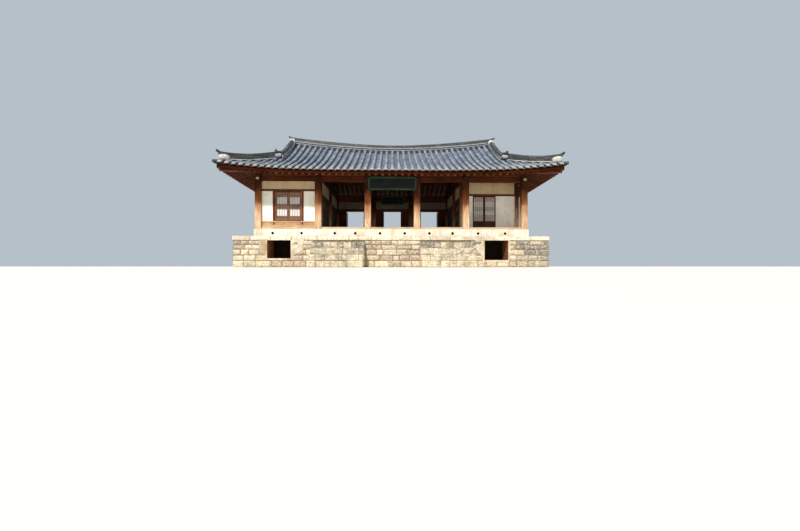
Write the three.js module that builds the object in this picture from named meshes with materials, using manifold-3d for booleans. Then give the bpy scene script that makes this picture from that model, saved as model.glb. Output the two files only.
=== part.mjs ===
// A Korean lecture hall in the hanok style: a timber frame of five bays under a hip-and-gable
// tiled roof, on a stone platform with two flights of steps and two fire holes.
// Millimetres. +X is to the viewer's right, +Y leads away from the viewer, +Z is up.
// The origin is on the ground under the centre of the column grid.
import * as THREE from 'three';
import { mergeVertices } from 'three/addons/utils/BufferGeometryUtils.js';
import Module from 'manifold-3d';

// Plan of the column grid
const MIDDLE_BAY = 2400;
const END_BAY = 2880;
const HALF_DEPTH = 2800;
const COLUMN = 300;
const HALL_X = MIDDLE_BAY * 1.5;
const END_X = HALL_X + END_BAY;
const GRID_X = [-END_X, -HALL_X, -MIDDLE_BAY / 2, MIDDLE_BAY / 2, HALL_X, END_X];

// Heights above the ground
const PLATFORM_TOP = 1445;
const BAND_TOP = 1780;
const FLOOR_TOP = 1950;
const LINTEL_BOTTOM = 3690;
const LINTEL_TOP = 3790;
const TIE_BOTTOM = 4170;
const TIE_TOP = 4410;

// Clearance between pieces that touch, and how far parts of one piece run into each other
const GAP = 0.3;
const LAP = 20;

// Reach of cutting tools past what they cut, and the heights between which upright ones run
const OVER = 10;
const TOOL_BOTTOM = 1000;
const TOOL_TOP = 8000;

// Platform, fire holes and steps
const PLATFORM_HALF_X = 7400;
const PLATFORM_HALF_Y = 3550;
const FIRE_HOLES = [
  { x0: -5820, x1: -4730, z0: 410, z1: 1250 },
  { x0: 4340, x1: 5470, z0: 330, z1: 1255 },
];
const FIRE_HOLE_DEPTH = 900;
const STEP_COUNT = 4;
const STEP_WIDTH = 2450;
const STEP_CENTRE = 2500;
const STEP_FRONT = -4800;

// Walls and floors
const PLASTER = 90;
const RAIL = 130;
const TENON = 60;
const BAND = 360;
const BAND_FACE = 180;
const FLOOR_EDGE = 100;
const SILL_RAIL_TOP = 2060;
const RECESS_Y = -1800;
const RECESS_POST = 200;
const HEAD_RAIL = 120;
const TENON_HEIGHTS = [[1960, 2050], [3580, 3680]];
const PARTITION_STEP = 60;

// Window of the left room
const WINDOW = { x0: -5720, x1: -4390, z0: 2240, z1: LINTEL_BOTTOM };
const WINDOW_JAMB = 80;
const WINDOW_SILL = 60;
const WINDOW_FRAME = 60;
const WINDOW_THICKNESS = 90;
const WINDOW_SCREEN_DEPTH = 25;

// Double door of the right room
const DOOR = { x0: 4180, x1: 5370, z0: FLOOR_TOP + 10, z1: LINTEL_BOTTOM - 10 };
const DOOR_THICKNESS = 40;
const DOOR_SIDE_GAP = 5;
const DOOR_MIDDLE_GAP = 8;
const DOOR_STILE = 55;
const DOOR_PANEL_TOP = 2340;
const DOOR_PANEL_DEPTH = 10;
const DOOR_SCREEN_DEPTH = 14;
const OVER_DOOR_GAP = 8;
const HINGE_OFFSET = 14;
const HINGE_RADIUS = 8;
const HINGE_LENGTH = 60;
const HINGE_HEIGHTS = [2200, 3350];
const STRAP_LENGTH = 26;
const STRAP_FRONT = 3;
const STRAP_SUNK = 4;

// Openings of the back wall and their shutters
const SHUTTER_WIDTH = 1100;
const SHUTTER_BOTTOM = 2300;
const SHUTTER_TOP = 3570;
const SHUTTER_RAIL_TOP = 3730;
const SHUTTER_THICKNESS = 35;
const SHUTTER_PLAY = 5;
const SHUTTER_JAMB = 80;
const SHUTTER_SILL = 90;
const SHUTTER_HINGE = 60;
const SHUTTER_HINGE_INSET = 120;
const SHUTTER_HINGE_REACH = 20;

// Round purlins and the frames that carry them
const PURLIN_RADIUS = 115;
const INNER_PURLIN_RADIUS = 105;
const PURLIN_SIDES = 12;
const INNER_PURLIN_Y = 1400;
const TIE = 160;
const CROSS_BEAM = 280;
const BEAM_NECK = 180;
const BEAM_BASE = TIE_TOP - 110;
const FRAME_POST = 220;
const CROSS_BEAM_TOP = 4740;
const BEAM_HEAD = 250;
const PURLIN_END = 150;
const INNER_PURLIN_SHORT = 200;
const PURLIN_SLOT = 100;
const TIE_HEAD = 60;
const BEAM_REACH = HALF_DEPTH + BEAM_HEAD;
const BEAM_PLAY = 10;
const NECK_HEAD_TOP = BEAM_BASE + 190;
const NECK_SHOULDER = [2640, 4620];
const BEAM_SIDE_TOP = 4640;
const BEAM_SHOULDER_Y = 2500;
const UPPER_BEAM_BOTTOM = 4900;
const UPPER_BEAM_TOP = 5100;
const UPPER_BEAM_HEAD = 150;
const KING_POST_FOOT = 660;
const KING_POST_HEAD = 300;
const KING_POST_THICKNESS = 160;
const INFILL_HALF = 2560;
const INFILL_BOTTOM = 4650;
const INFILL_DROP = 6;
const FRAME_X = GRID_X.slice(1, -1);

// Roof: plan of the eaves, slopes and the height of the tiled surface
const EAVE_Y = 4200;
const EAVE_X = 7880;
const CORNER_OUT = 130;
const CORNER_X = EAVE_X + CORNER_OUT;
const CORNER_Y = EAVE_Y + CORNER_OUT;
const EAVE_TOP = 4500;
const ROOF_SLOPE = 0.424;
const ROOF_BEND = 0.0214e-3;
const CORNER_RISE = 320;
const CORNER_SHARPNESS = 3.6;
const RIDGE_RISE = 400;
const RIDGE_SHARPNESS = 1.7;
const RAFTER_SLOPE = 0.4;
const UPPER_RAFTER_SLOPE = 0.62;
const GABLE_X = 5430;
const VERGE_X = 5730;
const VERGE_DEPTH = 380;
const VERGE_FOOT = 1700;
const GABLE_WALL = 60;
const GABLE_WALL_FOOT = 1150;
const GABLE_BED = 56;
const GABLE_BED_Y = 500;
const EVEN_X = 3000;
const EVEN_Y = 1800;

// Ridges
const MAIN_RIDGE_TOP = 6920;
const MAIN_RIDGE_TIP_RISE = 430;
const MAIN_RIDGE_WIDTH = 300;
const FALLING_RIDGE_X = 5600;
const FALLING_RIDGE_WIDTH = 240;
const FALLING_RIDGE_HEIGHT = 400;
const FALLING_RIDGE_FOOT = 2350;
const HIP_RIDGE_HEIGHT = 285;
const HIP_RIDGE_WIDTH = 210;
const HIP_RIDGE_STOP = 40;
const HIP_TIP_INSET = 250;
const HIP_TIP_RISE = 100;
const HIP_TIP_LENGTH = 1600;
const BED = 15;
const HIP_BED = 18;
const BEDDING = 100;
const BEDDING_BELOW = 60;
const BEDDING_ABOVE = 80;
const MAIN_BED_X = [-3000, 0, 3000];
const FALLING_BED_Y = [-2280, -2080];

// Bare name boards
const BOARD_THICKNESS = 50;
const OUTER_BOARD = { width: 2310, z0: 3730, z1: 4350, lean: 0.12, off: 120, bracketZ: 3770 };
const INNER_BOARD = { width: 1480, z0: 4000, z1: 4560, lean: -0.12, off: 100, bracketZ: 4200 };
const BRACKET = 60;
const BRACKET_INSET = 110;

// Colours
const STONE = { color: 0xb3a897, roughness: 0.95, metalness: 0 };
const TIMBER = { color: 0x8a5a3c, roughness: 0.8, metalness: 0 };
const PLASTER_LOOK = { color: 0xe6e0d2, roughness: 0.9, metalness: 0 };
const TILE = { color: 0x6f7a86, roughness: 0.85, metalness: 0 };
const RIDGE_LOOK = { color: 0x4d4a42, roughness: 0.9, metalness: 0 };
const BOARD = { color: 0x26332d, roughness: 0.7, metalness: 0 };
const FLOORING = { color: 0x9a7450, roughness: 0.6, metalness: 0 };

const wasm = await Module();
wasm.setup();

const building = new THREE.Group();

// Turns a three.js geometry into a solid for cuts and joins
function solidOf(geometry) {
  const bare = geometry.clone();
  bare.deleteAttribute('normal');
  bare.deleteAttribute('uv');
  const welded = mergeVertices(bare, 1e-3);
  return new wasm.Manifold(new wasm.Mesh({
    numProp: 3,
    vertProperties: new Float32Array(welded.attributes.position.array),
    triVerts: new Uint32Array(welded.index.array),
  }));
}

// Turns a solid back into a three.js geometry with flat faces
function geometryOf(solid) {
  const mesh = solid.getMesh();
  const indexed = new THREE.BufferGeometry();
  indexed.setAttribute('position', new THREE.BufferAttribute(new Float32Array(mesh.vertProperties), 3));
  indexed.setIndex(new THREE.BufferAttribute(new Uint32Array(mesh.triVerts), 1));
  const geometry = indexed.toNonIndexed();
  geometry.computeVertexNormals();
  return geometry;
}

// Adds one finished piece to the building
function piece(name, solid, look) {
  const mesh = new THREE.Mesh(geometryOf(solid), new THREE.MeshStandardMaterial(look));
  mesh.name = name;
  building.add(mesh);
}

// Box between two corners
function box(x0, x1, y0, y1, z0, z1) {
  const geometry = new THREE.BoxGeometry(x1 - x0, y1 - y0, z1 - z0);
  geometry.translate((x0 + x1) / 2, (y0 + y1) / 2, (z0 + z1) / 2);
  return solidOf(geometry);
}

// Joins several solids
function join(...solids) {
  return solids.reduce((whole, next) => whole.add(next));
}

// Cuts several solids out of one
function cut(solid, ...tools) {
  return tools.reduce((rest, tool) => rest.subtract(tool), solid);
}

// Short bedding block under a piece, cut to lie on the slab below it
function bedding(x, y, z0, z1, slab, half = BEDDING / 2) {
  return box(x - half, x + half, y - half, y + half, z0, z1).subtract(slab.translate([0, 0, GAP]));
}

// Flips a solid to the other side of the building
function mirrorX(solid) {
  return solid.mirror([1, 0, 0]);
}

function mirrorY(solid) {
  return solid.mirror([0, 1, 0]);
}

// Outline in the Y-Z plane pushed from x0 to x1
function prismX(points, x0, x1) {
  const shape = new THREE.Shape(points.map(([y, z]) => new THREE.Vector2(y, z)));
  const geometry = new THREE.ExtrudeGeometry(shape, { depth: x1 - x0, bevelEnabled: false });
  geometry.rotateX(Math.PI / 2);
  geometry.rotateZ(Math.PI / 2);
  geometry.translate(x0, 0, 0);
  return solidOf(geometry);
}

// Outline in the X-Z plane pushed from y0 to y1
function prismY(points, y0, y1) {
  const shape = new THREE.Shape(points.map(([x, z]) => new THREE.Vector2(x, z)));
  const geometry = new THREE.ExtrudeGeometry(shape, { depth: y1 - y0, bevelEnabled: false });
  geometry.rotateX(Math.PI / 2);
  geometry.translate(0, y1, 0);
  return solidOf(geometry);
}

// Outline in plan pushed from z0 to z1
function prismZ(points, z0, z1) {
  const shape = new THREE.Shape(points.map(([x, y]) => new THREE.Vector2(x, y)));
  const geometry = new THREE.ExtrudeGeometry(shape, { depth: z1 - z0, bevelEnabled: false });
  geometry.translate(0, 0, z0);
  return solidOf(geometry);
}

// Round log along X from x0 to x1; turn leans its first edge from the top towards +Y
function logX(x0, x1, y, z, radius, turn = 0) {
  const geometry = new THREE.CylinderGeometry(radius, radius, x1 - x0, PURLIN_SIDES);
  geometry.rotateY(turn);
  geometry.rotateZ(Math.PI / 2);
  geometry.translate((x0 + x1) / 2, y, z);
  return solidOf(geometry);
}

// Round log along Y from y0 to y1
function logY(y0, y1, x, z, radius) {
  const geometry = new THREE.CylinderGeometry(radius, radius, y1 - y0, PURLIN_SIDES);
  geometry.translate(x, (y0 + y1) / 2, z);
  return solidOf(geometry);
}

// Upright round pin
function pin(x, y, z0, z1, radius) {
  const geometry = new THREE.CylinderGeometry(radius, radius, z1 - z0, PURLIN_SIDES);
  geometry.rotateX(Math.PI / 2);
  geometry.translate(x, y, (z0 + z1) / 2);
  return solidOf(geometry);
}

// Heights of the purlins, worked out from the straight rafters that lie on them
const slant = Math.hypot(1, RAFTER_SLOPE);
const upperSlant = Math.hypot(1, UPPER_RAFTER_SLOPE);
const PURLIN_Z = TIE_TOP + GAP + PURLIN_RADIUS;
const RAFTER_AT_COLUMNS = PURLIN_Z + PURLIN_RADIUS * slant + GAP;
const RAFTER_AT_INNER = RAFTER_AT_COLUMNS + RAFTER_SLOPE * (HALF_DEPTH - INNER_PURLIN_Y);
const RAFTER_AT_RIDGE = RAFTER_AT_INNER + UPPER_RAFTER_SLOPE * INNER_PURLIN_Y;
const INNER_PURLIN_Z = RAFTER_AT_INNER - INNER_PURLIN_RADIUS * upperSlant - GAP;
const RIDGE_PURLIN_Z = RAFTER_AT_RIDGE - INNER_PURLIN_RADIUS * upperSlant - GAP;

// Eave line in plan: it bows outward to the corners
function eaveY(x) {
  return EAVE_Y + CORNER_OUT * Math.abs(x / CORNER_X) ** 3;
}

function eaveX(y) {
  return EAVE_X + CORNER_OUT * Math.abs(y / CORNER_Y) ** 3;
}

// Upward sweep of the roof at its corners
function cornerLift(x, y) {
  const fade = (distance) => Math.max(0, 1 - distance / CORNER_X) ** CORNER_SHARPNESS;
  return CORNER_RISE * fade(CORNER_X - Math.abs(x)) * fade(CORNER_Y - Math.abs(y));
}

// Tiled surface of the front and back slopes
function slopeTop(x, y) {
  const run = Math.max(0, eaveY(x) - Math.abs(y));
  const ridgeLift = RIDGE_RISE * Math.abs(x / VERGE_X) ** RIDGE_SHARPNESS * (run / EAVE_Y) ** 3;
  return EAVE_TOP + ROOF_SLOPE * run + ROOF_BEND * run * run + ridgeLift + cornerLift(x, y);
}

// Tiled surface of the end slopes
function skirtTop(x, y) {
  const run = Math.max(0, eaveX(y) - Math.abs(x));
  return EAVE_TOP + ROOF_SLOPE * run + ROOF_BEND * run * run + cornerLift(x, y);
}

// Underside of the rafters, front and back
function slopeUnder(x, y) {
  const inner = Math.abs(y) < INNER_PURLIN_Y;
  const low = RAFTER_AT_COLUMNS + RAFTER_SLOPE * (HALF_DEPTH - Math.abs(y));
  const high = RAFTER_AT_INNER + UPPER_RAFTER_SLOPE * (INNER_PURLIN_Y - Math.abs(y));
  return (inner ? high : low) + cornerLift(x, y);
}

// Underside of the rafters at the ends
function skirtUnder(x, y) {
  return RAFTER_AT_COLUMNS + RAFTER_SLOPE * (END_X - Math.abs(x)) + cornerLift(x, y);
}

// Evenly spaced values from a to b
function steps(a, b, count) {
  return Array.from({ length: count + 1 }, (_, i) => a + ((b - a) * i) / count);
}

// Closed slab between two height functions over a grid of x and y values, cut into triangles alike
// on both sides of the building so that mirrored pieces fit it too. Where the grid isn't square to
// the building, place turns grid values into plan positions.
function heightSlab(xs, ys, top, under, place = (u, v) => [u, v]) {
  const positions = [];
  const index = [];
  const width = xs.length;
  const layer = xs.length * ys.length;
  for (const height of [under, top]) {
    for (const v of ys) {
      for (const u of xs) {
        const [x, y] = place(u, v);
        positions.push(x, y, height(x, y));
      }
    }
  }
  const quad = (a, b, c, d) => index.push(a, b, c, a, c, d);
  for (let j = 0; j + 1 < ys.length; j += 1) {
    for (let i = 0; i + 1 < width; i += 1) {
      const a = j * width + i;
      const b = layer + a;
      const mirrored = (xs[i] + xs[i + 1]) * (ys[j] + ys[j + 1]) > 0;
      if (mirrored) {
        quad(a + 1, a, a + width, a + width + 1);
        quad(b + width, b, b + 1, b + width + 1);
      } else {
        quad(a, a + width, a + width + 1, a + 1);
        quad(b, b + 1, b + width + 1, b + width);
      }
    }
  }
  for (let i = 0; i + 1 < width; i += 1) {
    const far = (ys.length - 1) * width + i;
    quad(i, i + 1, layer + i + 1, layer + i);
    quad(far + 1, far, layer + far, layer + far + 1);
  }
  for (let j = 0; j + 1 < ys.length; j += 1) {
    const near = j * width;
    const end = near + width - 1;
    quad(near + width, near, layer + near, layer + near + width);
    quad(end, end + width, layer + end + width, layer + end);
  }
  const geometry = new THREE.BufferGeometry();
  geometry.setAttribute('position', new THREE.Float32BufferAttribute(positions, 3));
  geometry.setIndex(index);
  return solidOf(geometry);
}

// Front slope, cut to its plan between the eave, the hips and the gables
function frontSlope() {
  const end = CORNER_X + OVER;
  const xs = [...steps(-end, -EVEN_X, 7), ...steps(-EVEN_X / 2, EVEN_X / 2, 2), ...steps(EVEN_X, end, 7)];
  const ys = [...steps(-CORNER_Y - OVER, -INNER_PURLIN_Y, 5), ...steps(-INNER_PURLIN_Y / 2, 0, 1)];
  const gableY = CORNER_Y - (CORNER_X - GABLE_X);
  const eave = steps(-CORNER_X, CORNER_X, 18).map((x) => [x, -eaveY(x)]);
  const inner = [[GABLE_X, -gableY], [GABLE_X, -GAP / 2], [-GABLE_X, -GAP / 2], [-GABLE_X, -gableY]];
  const plan = prismZ([...eave, ...inner], TOOL_BOTTOM, TOOL_TOP);
  return heightSlab(xs, ys, slopeTop, slopeUnder).intersect(plan);
}

// Right end slope below the gable
function rightSkirt() {
  const xs = steps(GABLE_X - OVER, CORNER_X + OVER, 5);
  const ys = [...steps(-CORNER_Y - OVER, -EVEN_Y, 4), 0, ...steps(EVEN_Y, CORNER_Y + OVER, 4)];
  const inset = GAP * 1.5;
  const gableY = CORNER_Y - (CORNER_X - GABLE_X) - inset;
  const eave = steps(-CORNER_Y + inset, CORNER_Y - inset, 10).map((y) => [eaveX(y), y]);
  const outline = [...eave, [GABLE_X + GAP, gableY], [GABLE_X + GAP, -gableY]];
  return heightSlab(xs, ys, skirtTop, skirtUnder).intersect(prismZ(outline, TOOL_BOTTOM, TOOL_TOP));
}

// Roof slabs are shared by the pieces that rest on them
const front = frontSlope();
const back = mirrorY(front);
const right = rightSkirt();
const left = mirrorX(right);

// Tiled surface near a hip: the higher slope on the hip line itself, the lower one beside it
function hipTop(x, y) {
  const offLine = Math.abs(CORNER_X - Math.abs(x) - CORNER_Y + Math.abs(y));
  const heights = [slopeTop(x, y), skirtTop(x, y)];
  return offLine < 1 ? Math.max(...heights) : Math.min(...heights);
}

// Right gable: its wall, and the verge with the bargeboards in front of it
function rightGable() {
  const foot = GABLE_WALL_FOOT;
  const seatZ = skirtTop(GABLE_X, VERGE_FOOT) + BED;
  const verge = heightSlab(
    [GABLE_X + GAP, VERGE_X],
    steps(-VERGE_FOOT, VERGE_FOOT, 12),
    slopeTop,
    (x, y) => Math.max(slopeTop(x, y) - VERGE_DEPTH, skirtTop(GABLE_X, y) + BED),
  );
  const crest = steps(-foot, foot, 6).map((y) => [y, slopeTop(GABLE_X, y) - VERGE_DEPTH + LAP]);
  const wall = prismX([...crest, [foot, seatZ], [-foot, seatZ]], GABLE_X + GAP, GABLE_X + GABLE_WALL);
  const blocks = [-GABLE_BED_Y, GABLE_BED_Y].map((y) => (
    bedding(GABLE_X + GABLE_WALL / 2, y, seatZ - BEDDING_BELOW, seatZ + LAP, right, GABLE_BED / 2)));
  return join(verge, wall, ...blocks);
}

const gable = rightGable();

// Main ridge, swept up to its ends
function mainRidge() {
  const half = MAIN_RIDGE_WIDTH / 2;
  const crest = (x) => MAIN_RIDGE_TOP + MAIN_RIDGE_TIP_RISE * Math.abs(x / VERGE_X) ** RIDGE_SHARPNESS;
  const body = heightSlab(
    steps(-VERGE_X, VERGE_X, 14),
    [-half, 0, half],
    crest,
    (x, y) => slopeTop(x, y) + BED,
  );
  const beds = MAIN_BED_X.map((x) => {
    const y = half / 2;
    const z = slopeTop(x, y);
    return bedding(x, y, z - BEDDING_BELOW, z + BEDDING_ABOVE, back);
  });
  return join(body, ...beds);
}

// Front right ridge: it falls from the main ridge down the gable and turns along the hip
function frontRightRidge() {
  const half = FALLING_RIDGE_WIDTH / 2;
  const falling = heightSlab(
    [FALLING_RIDGE_X - half, FALLING_RIDGE_X + half],
    steps(-FALLING_RIDGE_FOOT, -MAIN_RIDGE_WIDTH / 2 - GAP, 9),
    (x, y) => slopeTop(FALLING_RIDGE_X, y) + FALLING_RIDGE_HEIGHT,
    (x, y) => slopeTop(x, y) + BED,
  );
  const along = (d, v) => [CORNER_X - d - v * Math.SQRT1_2, d - CORNER_Y - v * Math.SQRT1_2];
  const hipHalf = HIP_RIDGE_WIDTH / 2;
  const hip = heightSlab(
    steps(HIP_TIP_INSET, CORNER_X - FALLING_RIDGE_X - HIP_RIDGE_STOP, 8),
    [-hipHalf, 0, hipHalf],
    (x, y) => {
      const d = (CORNER_X - x + CORNER_Y + y) / 2;
      const turnUp = HIP_TIP_RISE * Math.max(0, 1 - d / HIP_TIP_LENGTH) ** 2;
      return slopeTop(CORNER_X - d, d - CORNER_Y) + HIP_RIDGE_HEIGHT + turnUp;
    },
    (x, y) => hipTop(x, y) + HIP_BED,
    along,
  );
  const beds = FALLING_BED_Y.map((y) => {
    const z = slopeTop(FALLING_RIDGE_X, y);
    return bedding(FALLING_RIDGE_X, y, z - BEDDING_BELOW, z + BEDDING_ABOVE, front);
  });
  return join(falling, hip, ...beds);
}

// Log purlins inside the roof
const tangent = Math.atan(RAFTER_SLOPE);
const upperTangent = Math.atan(UPPER_RAFTER_SLOPE);

function eavePurlins() {
  const ends = END_X + PURLIN_END;
  const frontLog = logX(-ends, ends, -HALF_DEPTH, PURLIN_Z, PURLIN_RADIUS, -tangent);
  const backLog = logX(-ends, ends, HALF_DEPTH, PURLIN_Z, PURLIN_RADIUS, tangent);
  const sideY = HALF_DEPTH + PURLIN_END;
  const rightLog = logY(-sideY, sideY, END_X, PURLIN_Z, PURLIN_RADIUS);
  const leftLog = logY(-sideY, sideY, -END_X, PURLIN_Z, PURLIN_RADIUS);
  return join(frontLog, backLog, rightLog, leftLog);
}

// Front inner purlin and ridge purlin
const logEnd = GABLE_X - INNER_PURLIN_SHORT;
const innerLog = logX(-logEnd, logEnd, -INNER_PURLIN_Y, INNER_PURLIN_Z, INNER_PURLIN_RADIUS, -upperTangent);
const ridgeLog = logX(-logEnd, logEnd, 0, RIDGE_PURLIN_Z, INNER_PURLIN_RADIUS, upperTangent);

// Slots that purlins leave in the frames
function purlinSlots() {
  const long = END_X + BEAM_HEAD + OVER;
  const half = PURLIN_SLOT / 2;
  const eave = PURLIN_RADIUS + GAP / Math.cos(Math.PI / PURLIN_SIDES);
  const inner = INNER_PURLIN_RADIUS + GAP / Math.cos(Math.PI / PURLIN_SIDES);
  return [
    logX(-long, long, -HALF_DEPTH, PURLIN_Z, eave, -tangent),
    logX(-long, long, HALF_DEPTH, PURLIN_Z, eave, tangent),
    logX(-long, long, -INNER_PURLIN_Y, INNER_PURLIN_Z, inner, -upperTangent),
    logX(-long, long, INNER_PURLIN_Y, INNER_PURLIN_Z, inner, upperTangent),
    logX(-long, long, 0, RIDGE_PURLIN_Z, inner, upperTangent),
    box(-long, long, -INNER_PURLIN_Y - half, -INNER_PURLIN_Y + half, INNER_PURLIN_Z, TOOL_TOP),
    box(-long, long, INNER_PURLIN_Y - half, INNER_PURLIN_Y + half, INNER_PURLIN_Z, TOOL_TOP),
    box(-long, long, -half, half, RIDGE_PURLIN_Z, TOOL_TOP),
  ];
}

// Frame across the building: cross beam, posts, upper beam and ridge post, with its infill at a room
function roofFrame(x, walled) {
  const [shoulderY, shoulderZ] = NECK_SHOULDER;
  const neck = prismX([
    [-BEAM_REACH, BEAM_BASE], [BEAM_REACH, BEAM_BASE], [BEAM_REACH, NECK_HEAD_TOP],
    [shoulderY, shoulderZ], [-shoulderY, shoulderZ], [-BEAM_REACH, NECK_HEAD_TOP],
  ], x - BEAM_NECK / 2, x + BEAM_NECK / 2);
  const inside = HALF_DEPTH - COLUMN / 2 - BEAM_PLAY;
  const beam = prismX([
    [-inside, BEAM_BASE], [inside, BEAM_BASE], [inside, BEAM_SIDE_TOP],
    [BEAM_SHOULDER_Y, CROSS_BEAM_TOP], [-BEAM_SHOULDER_Y, CROSS_BEAM_TOP], [-inside, BEAM_SIDE_TOP],
  ], x - CROSS_BEAM / 2, x + CROSS_BEAM / 2);
  const half = FRAME_POST / 2;
  const posts = [-INNER_PURLIN_Y, INNER_PURLIN_Y].map((y) => (
    box(x - half, x + half, y - half, y + half, CROSS_BEAM_TOP - LAP, UPPER_BEAM_BOTTOM + LAP)));
  const reach = INNER_PURLIN_Y + UPPER_BEAM_HEAD;
  const upper = box(x - half, x + half, -reach, reach, UPPER_BEAM_BOTTOM, UPPER_BEAM_TOP);
  const foot = KING_POST_FOOT / 2;
  const head = KING_POST_HEAD / 2;
  const kingPost = prismX([
    [-foot, UPPER_BEAM_TOP - LAP], [foot, UPPER_BEAM_TOP - LAP],
    [head, RIDGE_PURLIN_Z - LAP], [-head, RIDGE_PURLIN_Z - LAP],
  ], x - KING_POST_THICKNESS / 2, x + KING_POST_THICKNESS / 2);
  const timber = join(neck, beam, ...posts, upper, kingPost);
  if (!walled) {
    return cut(timber, ...purlinSlots());
  }
  const sideTop = slopeUnder(0, INFILL_HALF) - INFILL_DROP;
  const infill = prismX([
    [-INFILL_HALF, INFILL_BOTTOM], [INFILL_HALF, INFILL_BOTTOM], [INFILL_HALF, sideTop],
    [INNER_PURLIN_Y, RAFTER_AT_INNER - INFILL_DROP], [0, RAFTER_AT_RIDGE - INFILL_DROP],
    [-INNER_PURLIN_Y, RAFTER_AT_INNER - INFILL_DROP], [-INFILL_HALF, sideTop],
  ], x - PLASTER / 2, x + PLASTER / 2);
  return cut(join(timber, infill), ...purlinSlots());
}

// Slots that the necks of the cross beams leave in the columns and the tie beams
function neckSlots() {
  const half = BEAM_NECK / 2 + GAP;
  const reach = BEAM_REACH + OVER;
  return FRAME_X.map((x) => box(x - half, x + half, -reach, reach, BEAM_BASE - GAP, TOOL_TOP));
}

// Ring of tie beams lapped at the corners, wider by grow and open at the top where it is a slot
function tieRing(grow = 0) {
  const half = TIE / 2 + grow;
  const long = END_X + COLUMN / 2 + TIE_HEAD + grow;
  const deep = HALF_DEPTH + COLUMN / 2 + TIE_HEAD + grow;
  const z0 = TIE_BOTTOM - grow;
  const z1 = grow > 0 ? TOOL_TOP : TIE_TOP;
  return join(
    box(-long, long, -HALF_DEPTH - half, -HALF_DEPTH + half, z0, z1),
    box(-long, long, HALF_DEPTH - half, HALF_DEPTH + half, z0, z1),
    box(-END_X - half, -END_X + half, -deep, deep, z0, z1),
    box(END_X - half, END_X + half, -deep, deep, z0, z1),
  );
}

// Tenons that carry the wall rails through the columns they cross
function tenons(horizontal, fixed, from, to, grow = 0) {
  const half = TENON / 2 + grow;
  return TENON_HEIGHTS.map(([z0, z1]) => (horizontal
    ? box(from, to, fixed - half, fixed + half, z0 - grow, z1 + grow)
    : box(fixed - half, fixed + half, from, to, z0 - grow, z1 + grow)));
}

// Square column from the platform up to its head, with its slots
function column(x, y, head, ...slots) {
  const half = COLUMN / 2;
  const post = box(x - half, x + half, y - half, y + half, PLATFORM_TOP + GAP, head);
  return cut(post, ...slots);
}

// Footprints of all columns, with clearance, for what is built round them
function columnShafts() {
  const half = COLUMN / 2 + GAP;
  const middle = [-END_X, -HALL_X, HALL_X, END_X].map((x) => [x, 0]);
  const rows = [-HALF_DEPTH, HALF_DEPTH].flatMap((y) => GRID_X.map((x) => [x, y]));
  return [...rows, ...middle].map(([x, y]) => (
    box(x - half, x + half, y - half, y + half, TOOL_BOTTOM, TOOL_TOP)));
}

// Stone platform with the two fire holes in its front
function platform() {
  const body = box(-PLATFORM_HALF_X, PLATFORM_HALF_X, -PLATFORM_HALF_Y, PLATFORM_HALF_Y, 0, PLATFORM_TOP);
  const holes = FIRE_HOLES.map(({ x0, x1, z0, z1 }) => (
    box(x0, x1, -PLATFORM_HALF_Y - OVER, -PLATFORM_HALF_Y + FIRE_HOLE_DEPTH, z0, z1)));
  return cut(body, ...holes);
}

// Flight of stone steps against the platform
function stair(centre) {
  const riser = PLATFORM_TOP / (STEP_COUNT + 1);
  const tread = (-PLATFORM_HALF_Y - STEP_FRONT) / STEP_COUNT;
  const outline = [[-PLATFORM_HALF_Y - GAP, 0], [STEP_FRONT, 0]];
  for (let i = 0; i < STEP_COUNT; i += 1) {
    outline.push([STEP_FRONT + i * tread, (i + 1) * riser]);
    const nosing = i + 1 < STEP_COUNT ? STEP_FRONT + (i + 1) * tread : -PLATFORM_HALF_Y - GAP;
    outline.push([nosing, (i + 1) * riser]);
  }
  outline.reverse();
  return prismX(outline, centre - STEP_WIDTH / 2, centre + STEP_WIDTH / 2);
}

// Plastered wall that closes the space under the floor
function underfloorWall() {
  const outX = END_X + BAND_FACE;
  const outY = HALF_DEPTH + BAND_FACE;
  const outer = box(-outX, outX, -outY, outY, PLATFORM_TOP + GAP, BAND_TOP - GAP);
  const inner = box(-outX + BAND, outX - BAND, -outY + BAND, outY - BAND, TOOL_BOTTOM, TOOL_TOP);
  return cut(outer, inner, ...columnShafts());
}

// Floor of one part of the building with its edge beams
function floor(x0, x1) {
  const outY = HALF_DEPTH + FLOOR_EDGE;
  return cut(box(x0, x1, -outY, outY, BAND_TOP, FLOOR_TOP), ...columnShafts());
}

// Upright slab of plaster or timber that stands in a wall line
function slabX(x0, x1, y, thickness, z0, z1) {
  return box(x0, x1, y - thickness / 2, y + thickness / 2, z0, z1);
}

function slabY(y0, y1, x, thickness, z0, z1) {
  return box(x - thickness / 2, x + thickness / 2, y0, y1, z0, z1);
}

const WALL_FOOT = FLOOR_TOP + GAP;
const WALL_HEAD = TIE_BOTTOM - GAP;
const COLUMN_SIDE = COLUMN / 2 + GAP;

// Front wall of the left room, with its rails and the hole for the window
function leftRoomFrontWall() {
  const x0 = -END_X + COLUMN_SIDE;
  const x1 = -HALL_X - COLUMN_SIDE;
  const y = -HALF_DEPTH;
  const sill = WINDOW.z0 - WINDOW_SILL;
  const wall = join(
    slabX(x0, x1, y, PLASTER, WALL_FOOT, WALL_HEAD),
    slabX(x0, x1, y, RAIL, WALL_FOOT, SILL_RAIL_TOP),
    slabX(x0, x1, y, RAIL, sill, WINDOW.z0),
    slabX(x0, x1, y, RAIL, LINTEL_BOTTOM, LINTEL_TOP),
    slabX(WINDOW.x0 - WINDOW_JAMB, WINDOW.x1 + WINDOW_JAMB, y, RAIL, sill, LINTEL_TOP),
  );
  return cut(wall, slabX(WINDOW.x0, WINDOW.x1, y, RAIL + OVER, WINDOW.z0, WINDOW.z1));
}

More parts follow.
